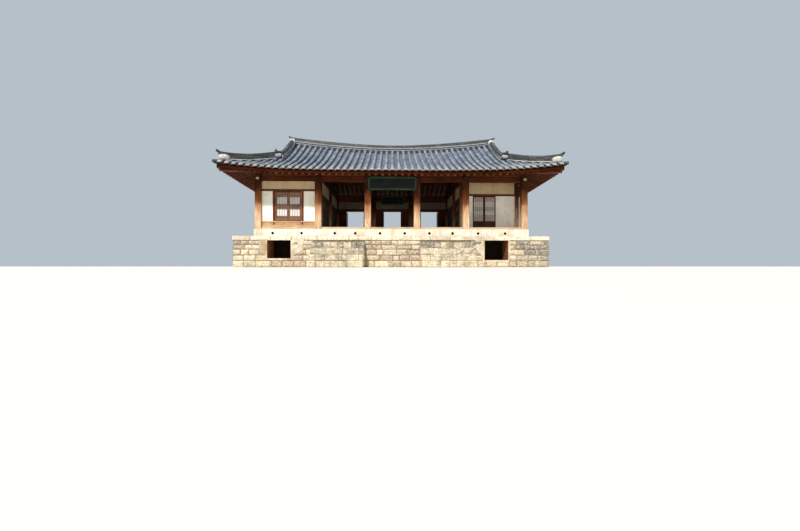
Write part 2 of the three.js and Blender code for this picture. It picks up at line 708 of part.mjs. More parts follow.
// Window of the left room: its frame and two closed leaves with sunk paper screens
function leftWindow() {
  const y = -HALF_DEPTH;
  const face = y - WINDOW_THICKNESS / 2;
  const middle = (WINDOW.x0 + WINDOW.x1) / 2;
  const frame = WINDOW_FRAME;
  const z0 = WINDOW.z0 + frame;
  const z1 = WINDOW.z1 - frame;
  const left = WINDOW.x0 + GAP;
  const whole = slabX(left, WINDOW.x1 - GAP, y, WINDOW_THICKNESS, WINDOW.z0 + GAP, WINDOW.z1 - GAP);
  const sunk = (x0, x1) => box(x0, x1, face - OVER, face + WINDOW_SCREEN_DEPTH, z0, z1);
  return cut(whole, sunk(WINDOW.x0 + frame, middle - frame / 2), sunk(middle + frame / 2, WINDOW.x1 - frame));
}

// Pins on the door posts, and the eyes on the leaves that turn on them
function hingePart(edge, side, above) {
  const axisY = RECESS_Y - PLASTER / 2 - HINGE_OFFSET;
  return HINGE_HEIGHTS.map((z) => {
    const z0 = above ? z + GAP : z - HINGE_LENGTH;
    const z1 = above ? z + HINGE_LENGTH : z;
    const reach = edge + side * STRAP_LENGTH;
    const near = axisY - STRAP_FRONT;
    const far = axisY + HINGE_OFFSET + STRAP_SUNK;
    const strap = box(Math.min(edge, reach), Math.max(edge, reach), near, far, z0, z1);
    return join(pin(edge, axisY, z0, z1, HINGE_RADIUS), strap);
  });
}

// Walls beside the double door
function doorSideWalls() {
  const foot = WALL_FOOT;
  const head = LINTEL_BOTTOM - GAP;
  const leftEdge = DOOR.x0 - DOOR_SIDE_GAP;
  const rightEdge = DOOR.x1 + DOOR_SIDE_GAP;
  const leftStart = HALL_X + RECESS_POST / 2 + GAP;
  const rightEnd = END_X - RECESS_POST / 2 - GAP;
  const leftWall = join(
    slabX(leftStart, leftEdge, RECESS_Y, PLASTER, foot, head),
    ...hingePart(leftEdge + DOOR_SIDE_GAP / 2, -1, false),
  );
  const rightWall = join(
    slabX(rightEdge, rightEnd, RECESS_Y, PLASTER, foot, head),
    ...hingePart(rightEdge - DOOR_SIDE_GAP / 2, 1, false),
  );
  return [leftWall, rightWall];
}

// Wall over the double door up to the rafters
function wallOverDoor() {
  const x0 = HALL_X + CROSS_BEAM / 2 + GAP;
  const x1 = END_X - PURLIN_RADIUS - OVER_DOOR_GAP;
  const depth = PLASTER / 2;
  const reach = HALF_DEPTH + RECESS_Y - depth;
  const hipX = END_X - reach;
  const level = RAFTER_AT_COLUMNS + RAFTER_SLOPE * reach - INFILL_DROP;
  const low = RAFTER_AT_COLUMNS + RAFTER_SLOPE * (END_X - x1) - INFILL_DROP;
  const outline = [[x0, LINTEL_BOTTOM], [x1, LINTEL_BOTTOM], [x1, low], [hipX, level], [x0, level]];
  const panel = prismY(outline, RECESS_Y - depth, RECESS_Y + depth);
  const lintel = slabX(x0, x1, RECESS_Y, RAIL, LINTEL_BOTTOM, LINTEL_TOP);
  return join(panel, lintel);
}

// One leaf of the double door: stiles and rails round a sunk screen, and a board panel below
function doorLeaf(left) {
  const middle = (DOOR.x0 + DOOR.x1) / 2;
  const x0 = left ? DOOR.x0 : middle + DOOR_MIDDLE_GAP / 2;
  const x1 = left ? middle - DOOR_MIDDLE_GAP / 2 : DOOR.x1;
  const face = RECESS_Y - PLASTER / 2;
  const stile = DOOR_STILE;
  const top = DOOR_PANEL_TOP;
  const body = box(x0, x1, face, face + DOOR_THICKNESS, DOOR.z0, DOOR.z1);
  const sunk = (depth, z0, z1) => box(x0 + stile, x1 - stile, face - OVER, face + depth, z0, z1);
  const screen = sunk(DOOR_SCREEN_DEPTH, top + stile, DOOR.z1 - stile);
  const panel = sunk(DOOR_PANEL_DEPTH, DOOR.z0 + stile, top);
  const edge = left ? DOOR.x0 - DOOR_SIDE_GAP / 2 : DOOR.x1 + DOOR_SIDE_GAP / 2;
  return join(cut(body, screen, panel), ...hingePart(edge, left ? 1 : -1, true));
}

// End wall of a room: panels on both sides of the middle column, on rails tenoned through it
function endWall(x, yStart) {
  const parts = [[yStart, -COLUMN_SIDE], [COLUMN_SIDE, HALF_DEPTH - COLUMN_SIDE]].flatMap(([y0, y1]) => [
    slabY(y0, y1, x, PLASTER, WALL_FOOT, WALL_HEAD),
    slabY(y0, y1, x, RAIL, WALL_FOOT, SILL_RAIL_TOP),
    slabY(y0, y1, x, RAIL, LINTEL_BOTTOM - HEAD_RAIL, LINTEL_BOTTOM),
  ]);
  return join(...parts, ...tenons(false, x, -COLUMN, COLUMN));
}

// Partition between the hall and a room: folding screens below, plaster above
function partition(x, yStart) {
  const head = BEAM_BASE - GAP;
  const parts = [[yStart, -COLUMN_SIDE], [COLUMN_SIDE, HALF_DEPTH - COLUMN_SIDE]].flatMap(([y0, y1]) => [
    slabY(y0, y1, x, TENON, WALL_FOOT, LINTEL_BOTTOM),
    slabY(y0, y1, x, PLASTER, LINTEL_BOTTOM - LAP, TIE_BOTTOM),
    slabY(y0, y1 - PARTITION_STEP, x, PLASTER, TIE_BOTTOM - LAP, head),
    slabY(y0, y1, x, RAIL, WALL_FOOT, SILL_RAIL_TOP),
    slabY(y0, y1, x, RAIL, LINTEL_BOTTOM - HEAD_RAIL, LINTEL_BOTTOM),
  ]);
  return join(...parts, ...tenons(false, x, -COLUMN, COLUMN));
}

// Open shutter, square to the back wall on its two hinges
function shutter(edge, side) {
  const outer = edge + side * SHUTTER_THICKNESS;
  const x0 = Math.min(edge, outer);
  const x1 = Math.max(edge, outer);
  const wallFace = HALF_DEPTH + RAIL / 2;
  const near = wallFace + SHUTTER_PLAY;
  const far = near + SHUTTER_WIDTH / 2;
  const leaf = box(x0, x1, near, far, SHUTTER_BOTTOM + SHUTTER_PLAY, SHUTTER_TOP - SHUTTER_PLAY);
  const low = SHUTTER_BOTTOM + SHUTTER_HINGE_INSET;
  const high = SHUTTER_TOP - SHUTTER_HINGE_INSET - SHUTTER_HINGE;
  const reach = SHUTTER_HINGE_REACH;
  const hinges = [low, high].map((z) => (
    box(x0, x1, wallFace - reach, wallFace + reach, z, z + SHUTTER_HINGE)));
  return join(leaf, ...hinges);
}

// Back wall: plastered ends, and three boarded bays with open shutters
function backWall() {
  const y = HALF_DEPTH;
  const parts = tenons(true, y, -END_X + COLUMN_SIDE, END_X - COLUMN_SIDE);
  for (let bay = 0; bay + 1 < GRID_X.length; bay += 1) {
    const x0 = GRID_X[bay] + COLUMN_SIDE;
    const x1 = GRID_X[bay + 1] - COLUMN_SIDE;
    const centre = (x0 + x1) / 2;
    const inHall = bay > 0 && bay + 2 < GRID_X.length;
    let panel = join(
      slabX(x0, x1, y, PLASTER, WALL_FOOT, WALL_HEAD),
      slabX(x0, x1, y, RAIL, WALL_FOOT, SILL_RAIL_TOP),
      slabX(x0, x1, y, RAIL, SHUTTER_TOP, SHUTTER_RAIL_TOP),
    );
    if (inHall) {
      const half = SHUTTER_WIDTH / 2;
      const outer = half + SHUTTER_JAMB;
      const edge = half + SHUTTER_PLAY;
      const sill = SHUTTER_BOTTOM - SHUTTER_SILL;
      const frame = slabX(centre - outer, centre + outer, y, RAIL, sill, SHUTTER_RAIL_TOP);
      const hole = slabX(centre - half, centre + half, y, RAIL + OVER, SHUTTER_BOTTOM, SHUTTER_TOP);
      panel = join(cut(join(panel, frame), hole), shutter(centre - edge, -1), shutter(centre + edge, 1));
    }
    parts.push(panel);
  }
  return join(...parts);
}

// Bare name board that leans out from the face at seatY on two brackets
function nameBoard(board, seatY) {
  const y = seatY - board.off;
  const geometry = new THREE.BoxGeometry(board.width, BOARD_THICKNESS, board.z1 - board.z0);
  geometry.rotateX(board.lean);
  geometry.translate(0, y, (board.z0 + board.z1) / 2);
  const half = BRACKET / 2;
  const bracketX = board.width / 2 - BRACKET_INSET;
  const brackets = [-bracketX, bracketX].map((x) => (
    box(x - half, x + half, y, seatY, board.bracketZ, board.bracketZ + BRACKET)));
  return join(solidOf(geometry), ...brackets);
}

// Platform, steps and what closes the space under the floor
piece('stone_platform', platform(), STONE);
piece('left_stair', stair(-STEP_CENTRE), STONE);
piece('right_stair', stair(STEP_CENTRE), STONE);
piece('underfloor_wall', underfloorWall(), PLASTER_LOOK);
piece('hall_floor', floor(-HALL_X + GAP, HALL_X - GAP), FLOORING);
piece('left_room_floor', floor(-END_X - FLOOR_EDGE, -HALL_X), FLOORING);
piece('right_room_floor', floor(HALL_X, END_X + FLOOR_EDGE), FLOORING);

// Columns
const ringSlot = tieRing(GAP);
const necks = neckSlots();
const backTenons = tenons(true, HALF_DEPTH, -END_X - COLUMN, END_X + COLUMN, GAP);
GRID_X.forEach((x, i) => {
  piece(`front_column_${i + 1}`, column(x, -HALF_DEPTH, TIE_TOP, ringSlot, ...necks), TIMBER);
  const isCorner = i === 0 || i + 1 === GRID_X.length;
  const slots = isCorner ? [] : backTenons;
  piece(`back_column_${i + 1}`, column(x, HALF_DEPTH, TIE_TOP, ringSlot, ...necks, ...slots), TIMBER);
});
[-END_X, -HALL_X, HALL_X, END_X].forEach((x, i) => {
  const head = Math.abs(x) === HALL_X ? BEAM_BASE - GAP : TIE_TOP;
  const slots = [ringSlot, ...tenons(false, x, -COLUMN, COLUMN, GAP)];
  piece(`middle_column_${i + 1}`, column(x, 0, head, ...slots), TIMBER);
});
[[HALL_X, BEAM_BASE - GAP], [END_X, TIE_BOTTOM - GAP]].forEach(([x, head], i) => {
  const half = RECESS_POST / 2;
  const post = box(x - half, x + half, RECESS_Y - half, RECESS_Y + half, WALL_FOOT, head);
  piece(`recess_post_${i + 1}`, post, TIMBER);
});

// Walls, window and doors
const postBack = RECESS_Y + RECESS_POST / 2 + GAP;
piece('left_room_front_wall', leftRoomFrontWall(), PLASTER_LOOK);
piece('left_room_window', leftWindow(), TIMBER);
const [besideLeft, besideRight] = doorSideWalls();
piece('wall_left_of_door', besideLeft, PLASTER_LOOK);
piece('wall_right_of_door', besideRight, PLASTER_LOOK);
piece('wall_over_door', wallOverDoor(), PLASTER_LOOK);
piece('left_door_leaf', doorLeaf(true), TIMBER);
piece('right_door_leaf', doorLeaf(false), TIMBER);
piece('left_end_wall', endWall(-END_X, -HALF_DEPTH + COLUMN_SIDE), PLASTER_LOOK);
piece('right_end_wall', endWall(END_X, postBack), PLASTER_LOOK);
piece('left_partition', partition(-HALL_X, -HALF_DEPTH + COLUMN_SIDE), PLASTER_LOOK);
piece('right_partition', partition(HALL_X, postBack), PLASTER_LOOK);
piece('back_wall', backWall(), PLASTER_LOOK);

// Timber frame of the roof
piece('tie_beams', cut(tieRing(), ...necks), TIMBER);
piece('eave_purlins', eavePurlins(), TIMBER);
FRAME_X.forEach((x, i) => {
  piece(`roof_frame_${i + 1}`, roofFrame(x, Math.abs(x) === HALL_X), TIMBER);
});
piece('front_inner_purlin', innerLog, TIMBER);
piece('back_inner_purlin', mirrorY(innerLog), TIMBER);
piece('ridge_purlin', ridgeLog, TIMBER);

// Roof slabs, gables and ridges
piece('front_roof_slope', front, TILE);
piece('back_roof_slope', back, TILE);
piece('left_roof_skirt', left, TILE);
piece('right_roof_skirt', right, TILE);
piece('left_gable', mirrorX(gable), TIMBER);
piece('right_gable', gable, TIMBER);
piece('main_ridge', mainRidge(), RIDGE_LOOK);
const cornerRidge = frontRightRidge();
piece('front_right_ridge', cornerRidge, RIDGE_LOOK);
piece('front_left_ridge', mirrorX(cornerRidge), RIDGE_LOOK);
piece('back_right_ridge', mirrorY(cornerRidge), RIDGE_LOOK);
piece('back_left_ridge', mirrorX(mirrorY(cornerRidge)), RIDGE_LOOK);

// Bare name boards on the faces of the front columns and of the back tie beam
piece('outer_name_board', nameBoard(OUTER_BOARD, -HALF_DEPTH - COLUMN / 2 - GAP), BOARD);
piece('inner_name_board', nameBoard(INNER_BOARD, HALF_DEPTH - TIE / 2 - GAP), BOARD);

export default building;
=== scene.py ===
"""Looks of a Korean lecture hall in the hanok style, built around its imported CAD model.

Metres. +X is to the viewer's right, +Y leads away from the viewer, +Z is up.
"""
import math
import random
from types import SimpleNamespace

import bpy
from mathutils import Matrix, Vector


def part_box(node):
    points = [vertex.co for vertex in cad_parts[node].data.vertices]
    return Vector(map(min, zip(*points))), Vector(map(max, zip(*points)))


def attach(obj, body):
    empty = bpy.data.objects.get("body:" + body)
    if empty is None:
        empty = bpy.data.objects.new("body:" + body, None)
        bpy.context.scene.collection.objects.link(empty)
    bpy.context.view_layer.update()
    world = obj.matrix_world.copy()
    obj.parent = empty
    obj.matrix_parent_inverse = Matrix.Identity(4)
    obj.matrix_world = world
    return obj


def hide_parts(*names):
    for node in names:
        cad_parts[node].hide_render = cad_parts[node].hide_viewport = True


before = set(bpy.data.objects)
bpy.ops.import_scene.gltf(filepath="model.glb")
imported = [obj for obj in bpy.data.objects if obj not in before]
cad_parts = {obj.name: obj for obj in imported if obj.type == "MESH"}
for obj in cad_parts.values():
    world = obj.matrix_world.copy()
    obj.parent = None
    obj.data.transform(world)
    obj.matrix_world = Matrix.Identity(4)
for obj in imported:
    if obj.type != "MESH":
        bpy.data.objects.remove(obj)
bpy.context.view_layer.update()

# Column grid and levels
COLUMN_LINES = [(low.x + high.x) / 2 for low, high in (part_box(f"front_column_{i}") for i in range(1, 7))]
HALL_X, END_X = COLUMN_LINES[4:]
HALF_DEPTH = 2.8
RECESS_Y = -1.8
PLATFORM_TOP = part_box("stone_platform")[1].z
FLOOR_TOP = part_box("hall_floor")[1].z
TIE_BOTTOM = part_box("tie_beams")[0].z
SLIT = 0.0003
FLOOR_BOTTOM = 1.78 + SLIT

# Roof form, as in the CAD
EAVE_Y = 4.2
EAVE_X = 7.88
CORNER_OUT = 0.13
CORNER_X = EAVE_X + CORNER_OUT
CORNER_Y = EAVE_Y + CORNER_OUT
EAVE_TOP = 4.5
ROOF_SLOPE = 0.424
ROOF_BEND = 0.0214
CORNER_RISE = 0.32
CORNER_SHARPNESS = 3.6
RIDGE_RISE = 0.4
RIDGE_SHARPNESS = 1.7
RAFTER_SLOPE = 0.4
UPPER_RAFTER_SLOPE = 0.62
GABLE_X = 5.43
VERGE_X = 5.73
RAFTER_AT_COLUMNS = 4.6494
INNER_PURLIN_Y = 1.4
RAFTER_AT_INNER = RAFTER_AT_COLUMNS + RAFTER_SLOPE * (HALF_DEPTH - INNER_PURLIN_Y)
MAIN_RIDGE_TOP = 6.92
MAIN_RIDGE_TIP_RISE = 0.43
BATTEN_X, BATTEN_HALF, BATTEN_Z = (5.47, 5.5), 1.15, (5.75, 5.83)
VERGE_TILE_RADIUS = 0.07
FALLING_RIDGE_X = 5.6
FALLING_FOOT = 2.35
HIP_TIP = 0.25

# Tiles and rafters
ROW_PITCH = 0.307
COVER_RADIUS = 0.078
COVER_LENGTH = 0.3
PAN_EXPOSED = 0.125
PAN_SAG = 0.062
TILE_BED = 0.21
RAFTER_RADIUS = 0.065
RAFTER_PITCH = 0.3
RAFTER_LIFT = RAFTER_RADIUS * 1.077
RAFTER_TIP = 0.17
CEILING_LIFT = 0.105
STRAIGHT_X, STRAIGHT_Y = 5.25, 1.6
UPPER_RAFTER_RADIUS = 0.05
UPPER_RAFTER_LIFT = 0.062
SLOPE_FAN = 10
SKIRT_FAN = 9
HIP_RAFTER_MARKS = (0.26, 0.6, 1.0, 1.7, 2.8)

# Platform
HALF_X, HALF_Y = 7.4, 3.55
COURSES = [0.0, 0.3, 0.56, 0.83, 1.04, 1.25]
EDGE_SLAB_BOTTOM = 1.262
STONE_BACK = -0.05
FIRE_HOLES = [(-5.82, -4.73, 0.41, 1.25), (4.34, 5.47, 0.33, 1.255)]
SURROUNDS = [(-6.23, -4.1), (3.89, 5.57)]
JAMB = 0.03
STAIRS = {"left_stair": (-3.725, -1.275), "right_stair": (1.275, 3.725)}
STAIR_FRONT = -4.8
RISER = PLATFORM_TOP / 5
TREAD = (-HALF_Y - STAIR_FRONT) / 4

# Plastered band under the floors, and its vents
BAND_OUT = 0.18
BAND_THICK = 0.36
BAND_LOW, BAND_HIGH = PLATFORM_TOP + SLIT, 1.78 - SLIT
LIP_DEPTH, LIP_TOP = 0.079, 1.842
VENT_RADIUS = 0.055
VENT_Z = 1.642
VENT_CELL = 0.12
VENT_SIDES = 20
VENT_SHARES = [(0.25, 0.73), (0.34, 0.75), (0.25, 0.75), (0.25, 0.72), (0.2, 0.66)]
END_VENTS = [-2.1, -0.7, 0.7, 2.1]

# Walls, window and door
LINTEL_BOTTOM, LINTEL_TOP = 3.69, 3.79
SILL_TOP = 2.06
WALL_LOW, WALL_HIGH = FLOOR_TOP + SLIT, TIE_BOTTOM - SLIT
PARTITION_TOP = 4.3 - SLIT
SCREEN_GAP = 0.002
PLASTER_THICK = 0.09
RAIL_THICK = 0.13
SIDE = 0.15 + SLIT
PANEL_DROP = 0.006
LATTICE_SHARES = (0.0, 0.1), (0.39, 0.57), (0.87, 1.0)
WINDOW_X, WINDOW_SILL = (-5.72, -4.39), 2.24
DOOR_X, DOOR_Z = (4.18, 5.37), (2.34, 3.68)
DOOR_FACE = -1.845
DOOR_STILE = 0.055
DOOR_SHARES = (0.0, 0.24), (0.44, 0.58), (0.84, 1.0)
DOOR_PANEL_LOW, DOOR_PANEL_HIGH = 2.02, 2.335
PULL_Z = 2.62
SHUTTER_LOW, SHUTTER_HIGH, SHUTTER_RAIL_TOP = 2.3, 3.57, 3.73
FLOOR_EDGE_Y = 2.9
ROOM_FLOOR_X = 6.58


def eave_y(x):
    return EAVE_Y + CORNER_OUT * abs(x / CORNER_X) ** 3


def eave_x(y):
    return EAVE_X + CORNER_OUT * abs(y / CORNER_Y) ** 3


def corner_lift(x, y):
    def fade(distance):
        return max(0.0, 1 - max(0.0, distance) / CORNER_X) ** CORNER_SHARPNESS

    return CORNER_RISE * fade(CORNER_X - abs(x)) * fade(CORNER_Y - abs(y))


def slope_top(x, y):
    run = max(0.0, eave_y(x) - abs(y))
    ridge_lift = RIDGE_RISE * abs(x / VERGE_X) ** RIDGE_SHARPNESS * (run / EAVE_Y) ** 3
    return EAVE_TOP + ROOF_SLOPE * run + ROOF_BEND * run * run + ridge_lift + corner_lift(x, y)


def skirt_top(x, y):
    run = max(0.0, eave_x(y) - abs(x))
    return EAVE_TOP + ROOF_SLOPE * run + ROOF_BEND * run * run + corner_lift(x, y)


def lower_line(inward):
    """Underside of the lower rafters, at a distance inward from the outer columns."""
    return RAFTER_AT_COLUMNS + RAFTER_SLOPE * inward


def upper_line(y):
    return RAFTER_AT_INNER + UPPER_RAFTER_SLOPE * (INNER_PURLIN_Y - abs(y))


def slope_under(x, y):
    line = upper_line(y) if abs(y) < INNER_PURLIN_Y else lower_line(HALF_DEPTH - abs(y))
    return line + corner_lift(x, y)


def skirt_under(x, y):
    return lower_line(END_X - abs(x)) + corner_lift(x, y)


def hip_y(x):
    """Distance from the ridge line at which a slope ends on the hip."""
    return 0.0 if abs(x) <= VERGE_X else CORNER_Y - (CORNER_X - abs(x))


def hip_x(y):
    """Distance from the middle at which an end skirt ends on the hip or the gable."""
    return max(GABLE_X, CORNER_X - (CORNER_Y - abs(y)))


def spaced(a, b, count):
    """Values from a to b, both included, in count equal steps."""
    return [a + (b - a) * i / count for i in range(count + 1)]


def pairs(values):
    return list(zip(values, values[1:]))


def circle(count):
    """Cosine and sine of evenly spaced turns."""
    return [(math.cos(a), math.sin(a)) for a in (2 * math.pi * i / count for i in range(count))]


def between(rings, around):
    """Quads that join each closed ring of points to the next ring."""
    turns = [(r * around, i, (i + 1) % around) for r in range(rings - 1) for i in range(around)]
    return [(a + i, a + j, a + around + j, a + around + i) for a, i, j in turns]


def edge_quads(n):
    """Quads from a ring of n points to the n points behind it."""
    return [(i, n + i, n + (i + 1) % n, (i + 1) % n) for i in range(n)]


def grid_quads(rows, cols):
    corners = [r * cols + c for r in range(rows - 1) for c in range(cols - 1)]
    return [(a, a + 1, a + cols + 1, a + cols) for a in corners]


def grid_rim(rows, cols):
    """Indices round the rim of a grid of points."""
    last = (rows - 1) * cols
    return [*range(cols), *(r * cols + cols - 1 for r in range(1, rows)),
            *(last + c for c in range(cols - 2, -1, -1)), *(r * cols for r in range(rows - 2, 0, -1))]


def frame_members(a, b, z0, z1, width):
    """Left, right, lower and upper member of a frame, as (a, b, z0, z1)."""
    return [(a, a + width, z0, z1), (b - width, b, z0, z1),
            (a + width, b - width, z0, z0 + width), (a + width, b - width, z1 - width, z1)]


class Kit:
    """Collects many small solids and joins them into one piece."""

    def __init__(self, seed):
        self.verts = []
        self.faces = []
        self.slots = []
        self.tones = []
        self.smooth = []
        self.rng = random.Random(seed)

    def add(self, verts, faces, slot=0, tone=None, smooth=False):
        base = len(self.verts)
        shade = self.rng.random() if tone is None else tone
        self.verts.extend(verts)
        self.faces.extend(tuple(base + i for i in face) for face in faces)
        self.slots.extend([slot] * len(faces))
        self.tones.extend([shade] * len(faces))
        self.smooth.extend([smooth] * len(faces))

    def hexa(self, bottom, top, slot=0, tone=None):
        """Solid between two four-sided rings, both counterclockwise from outside the top."""
        faces = [(3, 2, 1, 0), (4, 5, 6, 7), (0, 1, 5, 4), (1, 2, 6, 5), (2, 3, 7, 6), (3, 0, 4, 7)]
        self.add([*bottom, *top], faces, slot, tone)

    def box(self, x0, x1, y0, y1, z0, z1, slot=0, tone=None):
        x0, x1 = sorted((x0, x1))
        y0, y1 = sorted((y0, y1))
        ring = [(x0, y0), (x1, y0), (x1, y1), (x0, y1)]
        self.hexa([(x, y, z0) for x, y in ring], [(x, y, z1) for x, y in ring], slot, tone)

    def slab(self, along, u0, u1, fixed, thick, z0, z1, slot=0):
        """Box that stands in a wall line along x or y."""
        a, b = fixed - thick / 2, fixed + thick / 2
        self.box(*((u0, u1, a, b) if along == "x" else (a, b, u0, u1)), z0, z1, slot)

    def slabs(self, along, fixed, rows):
        """Several slabs in one wall line, each as (u0, u1, thick, z0, z1, slot)."""
        for u0, u1, thick, z0, z1, slot in rows:
            self.slab(along, u0, u1, fixed, thick, z0, z1, slot)

    def plate(self, front, back):
        """Outer face and edges of a plate that lies on a wall."""
        n = len(front)
        self.add([*front, *back], [tuple(range(n)), *edge_quads(n)], 0, 0.5)

    def build(self, name, looks, record_slot, body="building", replaces=(), bevel=0.0):
        mesh = bpy.data.meshes.new(name)
        mesh.from_pydata([tuple(v) for v in self.verts], [], self.faces)
        for look in looks:
            mesh.materials.append(look)
        mesh.polygons.foreach_set("material_index", self.slots)
        mesh.polygons.foreach_set("use_smooth", self.smooth)
        tone = mesh.attributes.new("tone", "FLOAT", "FACE")
        tone.data.foreach_set("value", self.tones)
        mesh.update()
        piece = bpy.data.objects.new(name, mesh)
        bpy.context.scene.collection.objects.link(piece)
        if bevel:
            bevel_edges(piece, bevel)
        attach(piece, body)
        if replaces:
            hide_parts(*replaces)


def bevel_edges(piece, width):
    """Breaks the sharp edges of a finished mesh."""
    modifier = piece.modifiers.new("bevel", "BEVEL")
    modifier.width = width
    modifier.segments = 1
    modifier.limit_method = "ANGLE"
    depsgraph = bpy.context.evaluated_depsgraph_get()
    baked = bpy.data.meshes.new_from_object(piece.evaluated_get(depsgraph))
    piece.modifiers.clear()
    piece.data = baked


class Signal:
    """Output of a shader node. Sums and products of signals become math nodes."""

    def __init__(self, look, socket):
        self.look = look
        self.socket = socket

    def __add__(self, other):
        return self.look.node("ShaderNodeMath", "Value", {0: self, 1: other}, operation="ADD")

    def __mul__(self, other):
        return self.look.node("ShaderNodeMath", "Value", {0: self, 1: other}, operation="MULTIPLY")


class Look:
    """A procedural material, built up from noise in the object's own coordinates."""

    def __init__(self, name, roughness=0.8, specular=0.5):
        self.material = bpy.data.materials.new(name)
        self.material.use_nodes = True
        self.tree = self.material.node_tree
        self.shader = self.tree.nodes["Principled BSDF"]
        self.shader.inputs["Roughness"].default_value = roughness
        self.shader.inputs["Specular IOR Level"].default_value = specular
        self.coords = self.node("ShaderNodeTexCoord", "Object", {})

    def feed(self, socket, value):
        """Links a signal to a socket, or sets the socket to a number or colour."""
        if isinstance(value, Signal):
            self.tree.links.new(value.socket, socket)
        else:
            socket.default_value = value

    def node(self, kind, output, inputs, **settings):
        made = self.tree.nodes.new(kind)
        for key, value in settings.items():
            setattr(made, key, value)
        for key, value in inputs.items():
            self.feed(made.inputs[key], value)
        return Signal(self, made.outputs[output])

    def noise(self, scale, detail=4.0, stretch=(1, 1, 1), roughness=0.6, distortion=0.0):
        vector = self.node("ShaderNodeMapping", "Vector", {"Scale": stretch, "Vector": self.coords})
        return self.node("ShaderNodeTexNoise", "Fac", {
            "Vector": vector, "Scale": scale, "Detail": detail, "Roughness": roughness,
            "Distortion": distortion})

    def tone(self):
        return self.node("ShaderNodeAttribute", "Fac", {}, attribute_name="tone")

    def height(self):
        return self.node("ShaderNodeSeparateXYZ", "Z", {"Vector": self.coords})

    def ramp(self, fac, *stops):
        made = self.node("ShaderNodeValToRGB", "Color", {"Fac": fac})
        elements = made.socket.node.color_ramp.elements
        while len(elements) < len(stops):
            elements.new(0.5)
        for element, (position, colour) in zip(elements, stops):
            element.position = position
            element.color = (*colour, 1)
        return made

    def mask(self, fac, low, high):
        return self.node("ShaderNodeMapRange", "Result", {"From Min": low, "From Max": high, "Value": fac})

    def mix(self, fac, a, b):
        made = self.tree.nodes.new("ShaderNodeMix")
        made.data_type = "RGBA"
        sockets = [s for s in made.inputs if s.enabled]
        for socket, value in zip(sockets, (fac, a, b)):
            self.feed(socket, (*value, 1) if isinstance(value, tuple) else value)
        return Signal(self, next(s for s in made.outputs if s.enabled))

    def bump(self, height, strength, distance):
        normal = self.node("ShaderNodeBump", "Normal", {
            "Strength": strength, "Distance": distance, "Height": height})
        self.feed(self.shader.inputs["Normal"], normal)

    def paint(self, colour, rough=None):
        self.feed(self.shader.inputs["Base Color"], colour)
        if rough is not None:
            self.feed(self.shader.inputs["Roughness"], rough)
        return self.material


# Finishes


def timber(name, dark, mid, light, along="z", roughness=0.75, specular=0.12):
    """Old pine: long grain, checks and weathered streaks along one axis."""
    look = Look(name, roughness, specular)
    stretch = {"x": (0.06, 1, 1), "y": (1, 0.06, 1), "z": (1, 1, 0.06)}[along]
    fine = look.noise(45, 5, stretch, 0.65, 0.3)
    broad = look.noise(1.3, 3, roughness=0.5)
    varied = fine * 0.62 + broad * 0.38 + (look.tone() + -0.5) * 0.16
    colour = look.ramp(varied, (0.3, dark), (0.5, mid), (0.7, light))
    checks = look.mask(look.noise(99, 3, stretch, 0.5), 0.62, 0.7)
    look.bump(fine + checks * -0.6, 0.5, 0.006)
    return look.paint(look.mix(checks * 0.45, colour, dark), look.mask(fine, 1.6, -0.4))


def column_timber(name):
    """Column wood: reddish brown, with painted shade darkening the head under the eaves, and a pale foot
    that is partly bleached and partly painted sunlight.
    """
    look = Look(name, 0.78, 0.12)
    stretch = (1, 1, 0.05)
    fine = look.noise(46, 5, stretch, 0.65, 0.3)
    broad = look.noise(1.6, 3, (1, 1, 0.5), 0.5)
    mixed = fine * 0.55 + broad * 0.45
    # The near-black head is painted shade under the eaves; the pale foot is partly bleaching, partly
    # painted sunlight.
    head = look.ramp(mixed, (0.38, (0.013, 0.0035, 0.0013)), (0.5, (0.04, 0.01, 0.003)),
                     (0.62, (0.1, 0.028, 0.008)))
    shaft = look.ramp(mixed, (0.38, (0.06, 0.015, 0.005)), (0.5, (0.22, 0.058, 0.016)),
                      (0.62, (0.42, 0.15, 0.045)))
    foot = look.ramp(mixed, (0.36, (0.26, 0.12, 0.05)), (0.5, (0.55, 0.35, 0.2)), (0.64, (0.76, 0.6, 0.42)))
    ragged = look.height() + (look.noise(3, 4, (1, 1, 0.3)) + -0.5) * 0.9
    upper = look.mix(look.mask(ragged, 3.22, 3.82), shaft, head)
    colour = look.mix(look.mask(ragged, 3.25, 2.35), upper, foot)
    checks = look.mask(look.noise(90, 3, stretch, 0.5), 0.6, 0.68)
    look.bump(fine + checks * -0.7, 0.5, 0.008)
    return look.paint(look.mix(checks * 0.5, colour, (0.07, 0.03, 0.018)))


def plaster(name, pale, stained, dirt=0.35, reach=0.0):
    """Lime plaster with trowel marks, faint stains and dirt."""
    look = Look(name, 0.92, 0.2)
    cloud = look.noise(1.8, 5)
    fine = look.noise(34)
    streak = look.noise(5, 4, (1, 1, 0.2))
    stain = cloud * 0.6 + streak * 0.4 + fine * 0.1
    colour = look.ramp(stain, (0.36, pale), (0.56 - reach, pale), (0.78 - reach, stained))
    look.bump(fine + cloud * 0.8, dirt, 0.008)
    return look.paint(look.mix(look.mask(fine, 0.55, 0.85) * 0.12, colour, stained))


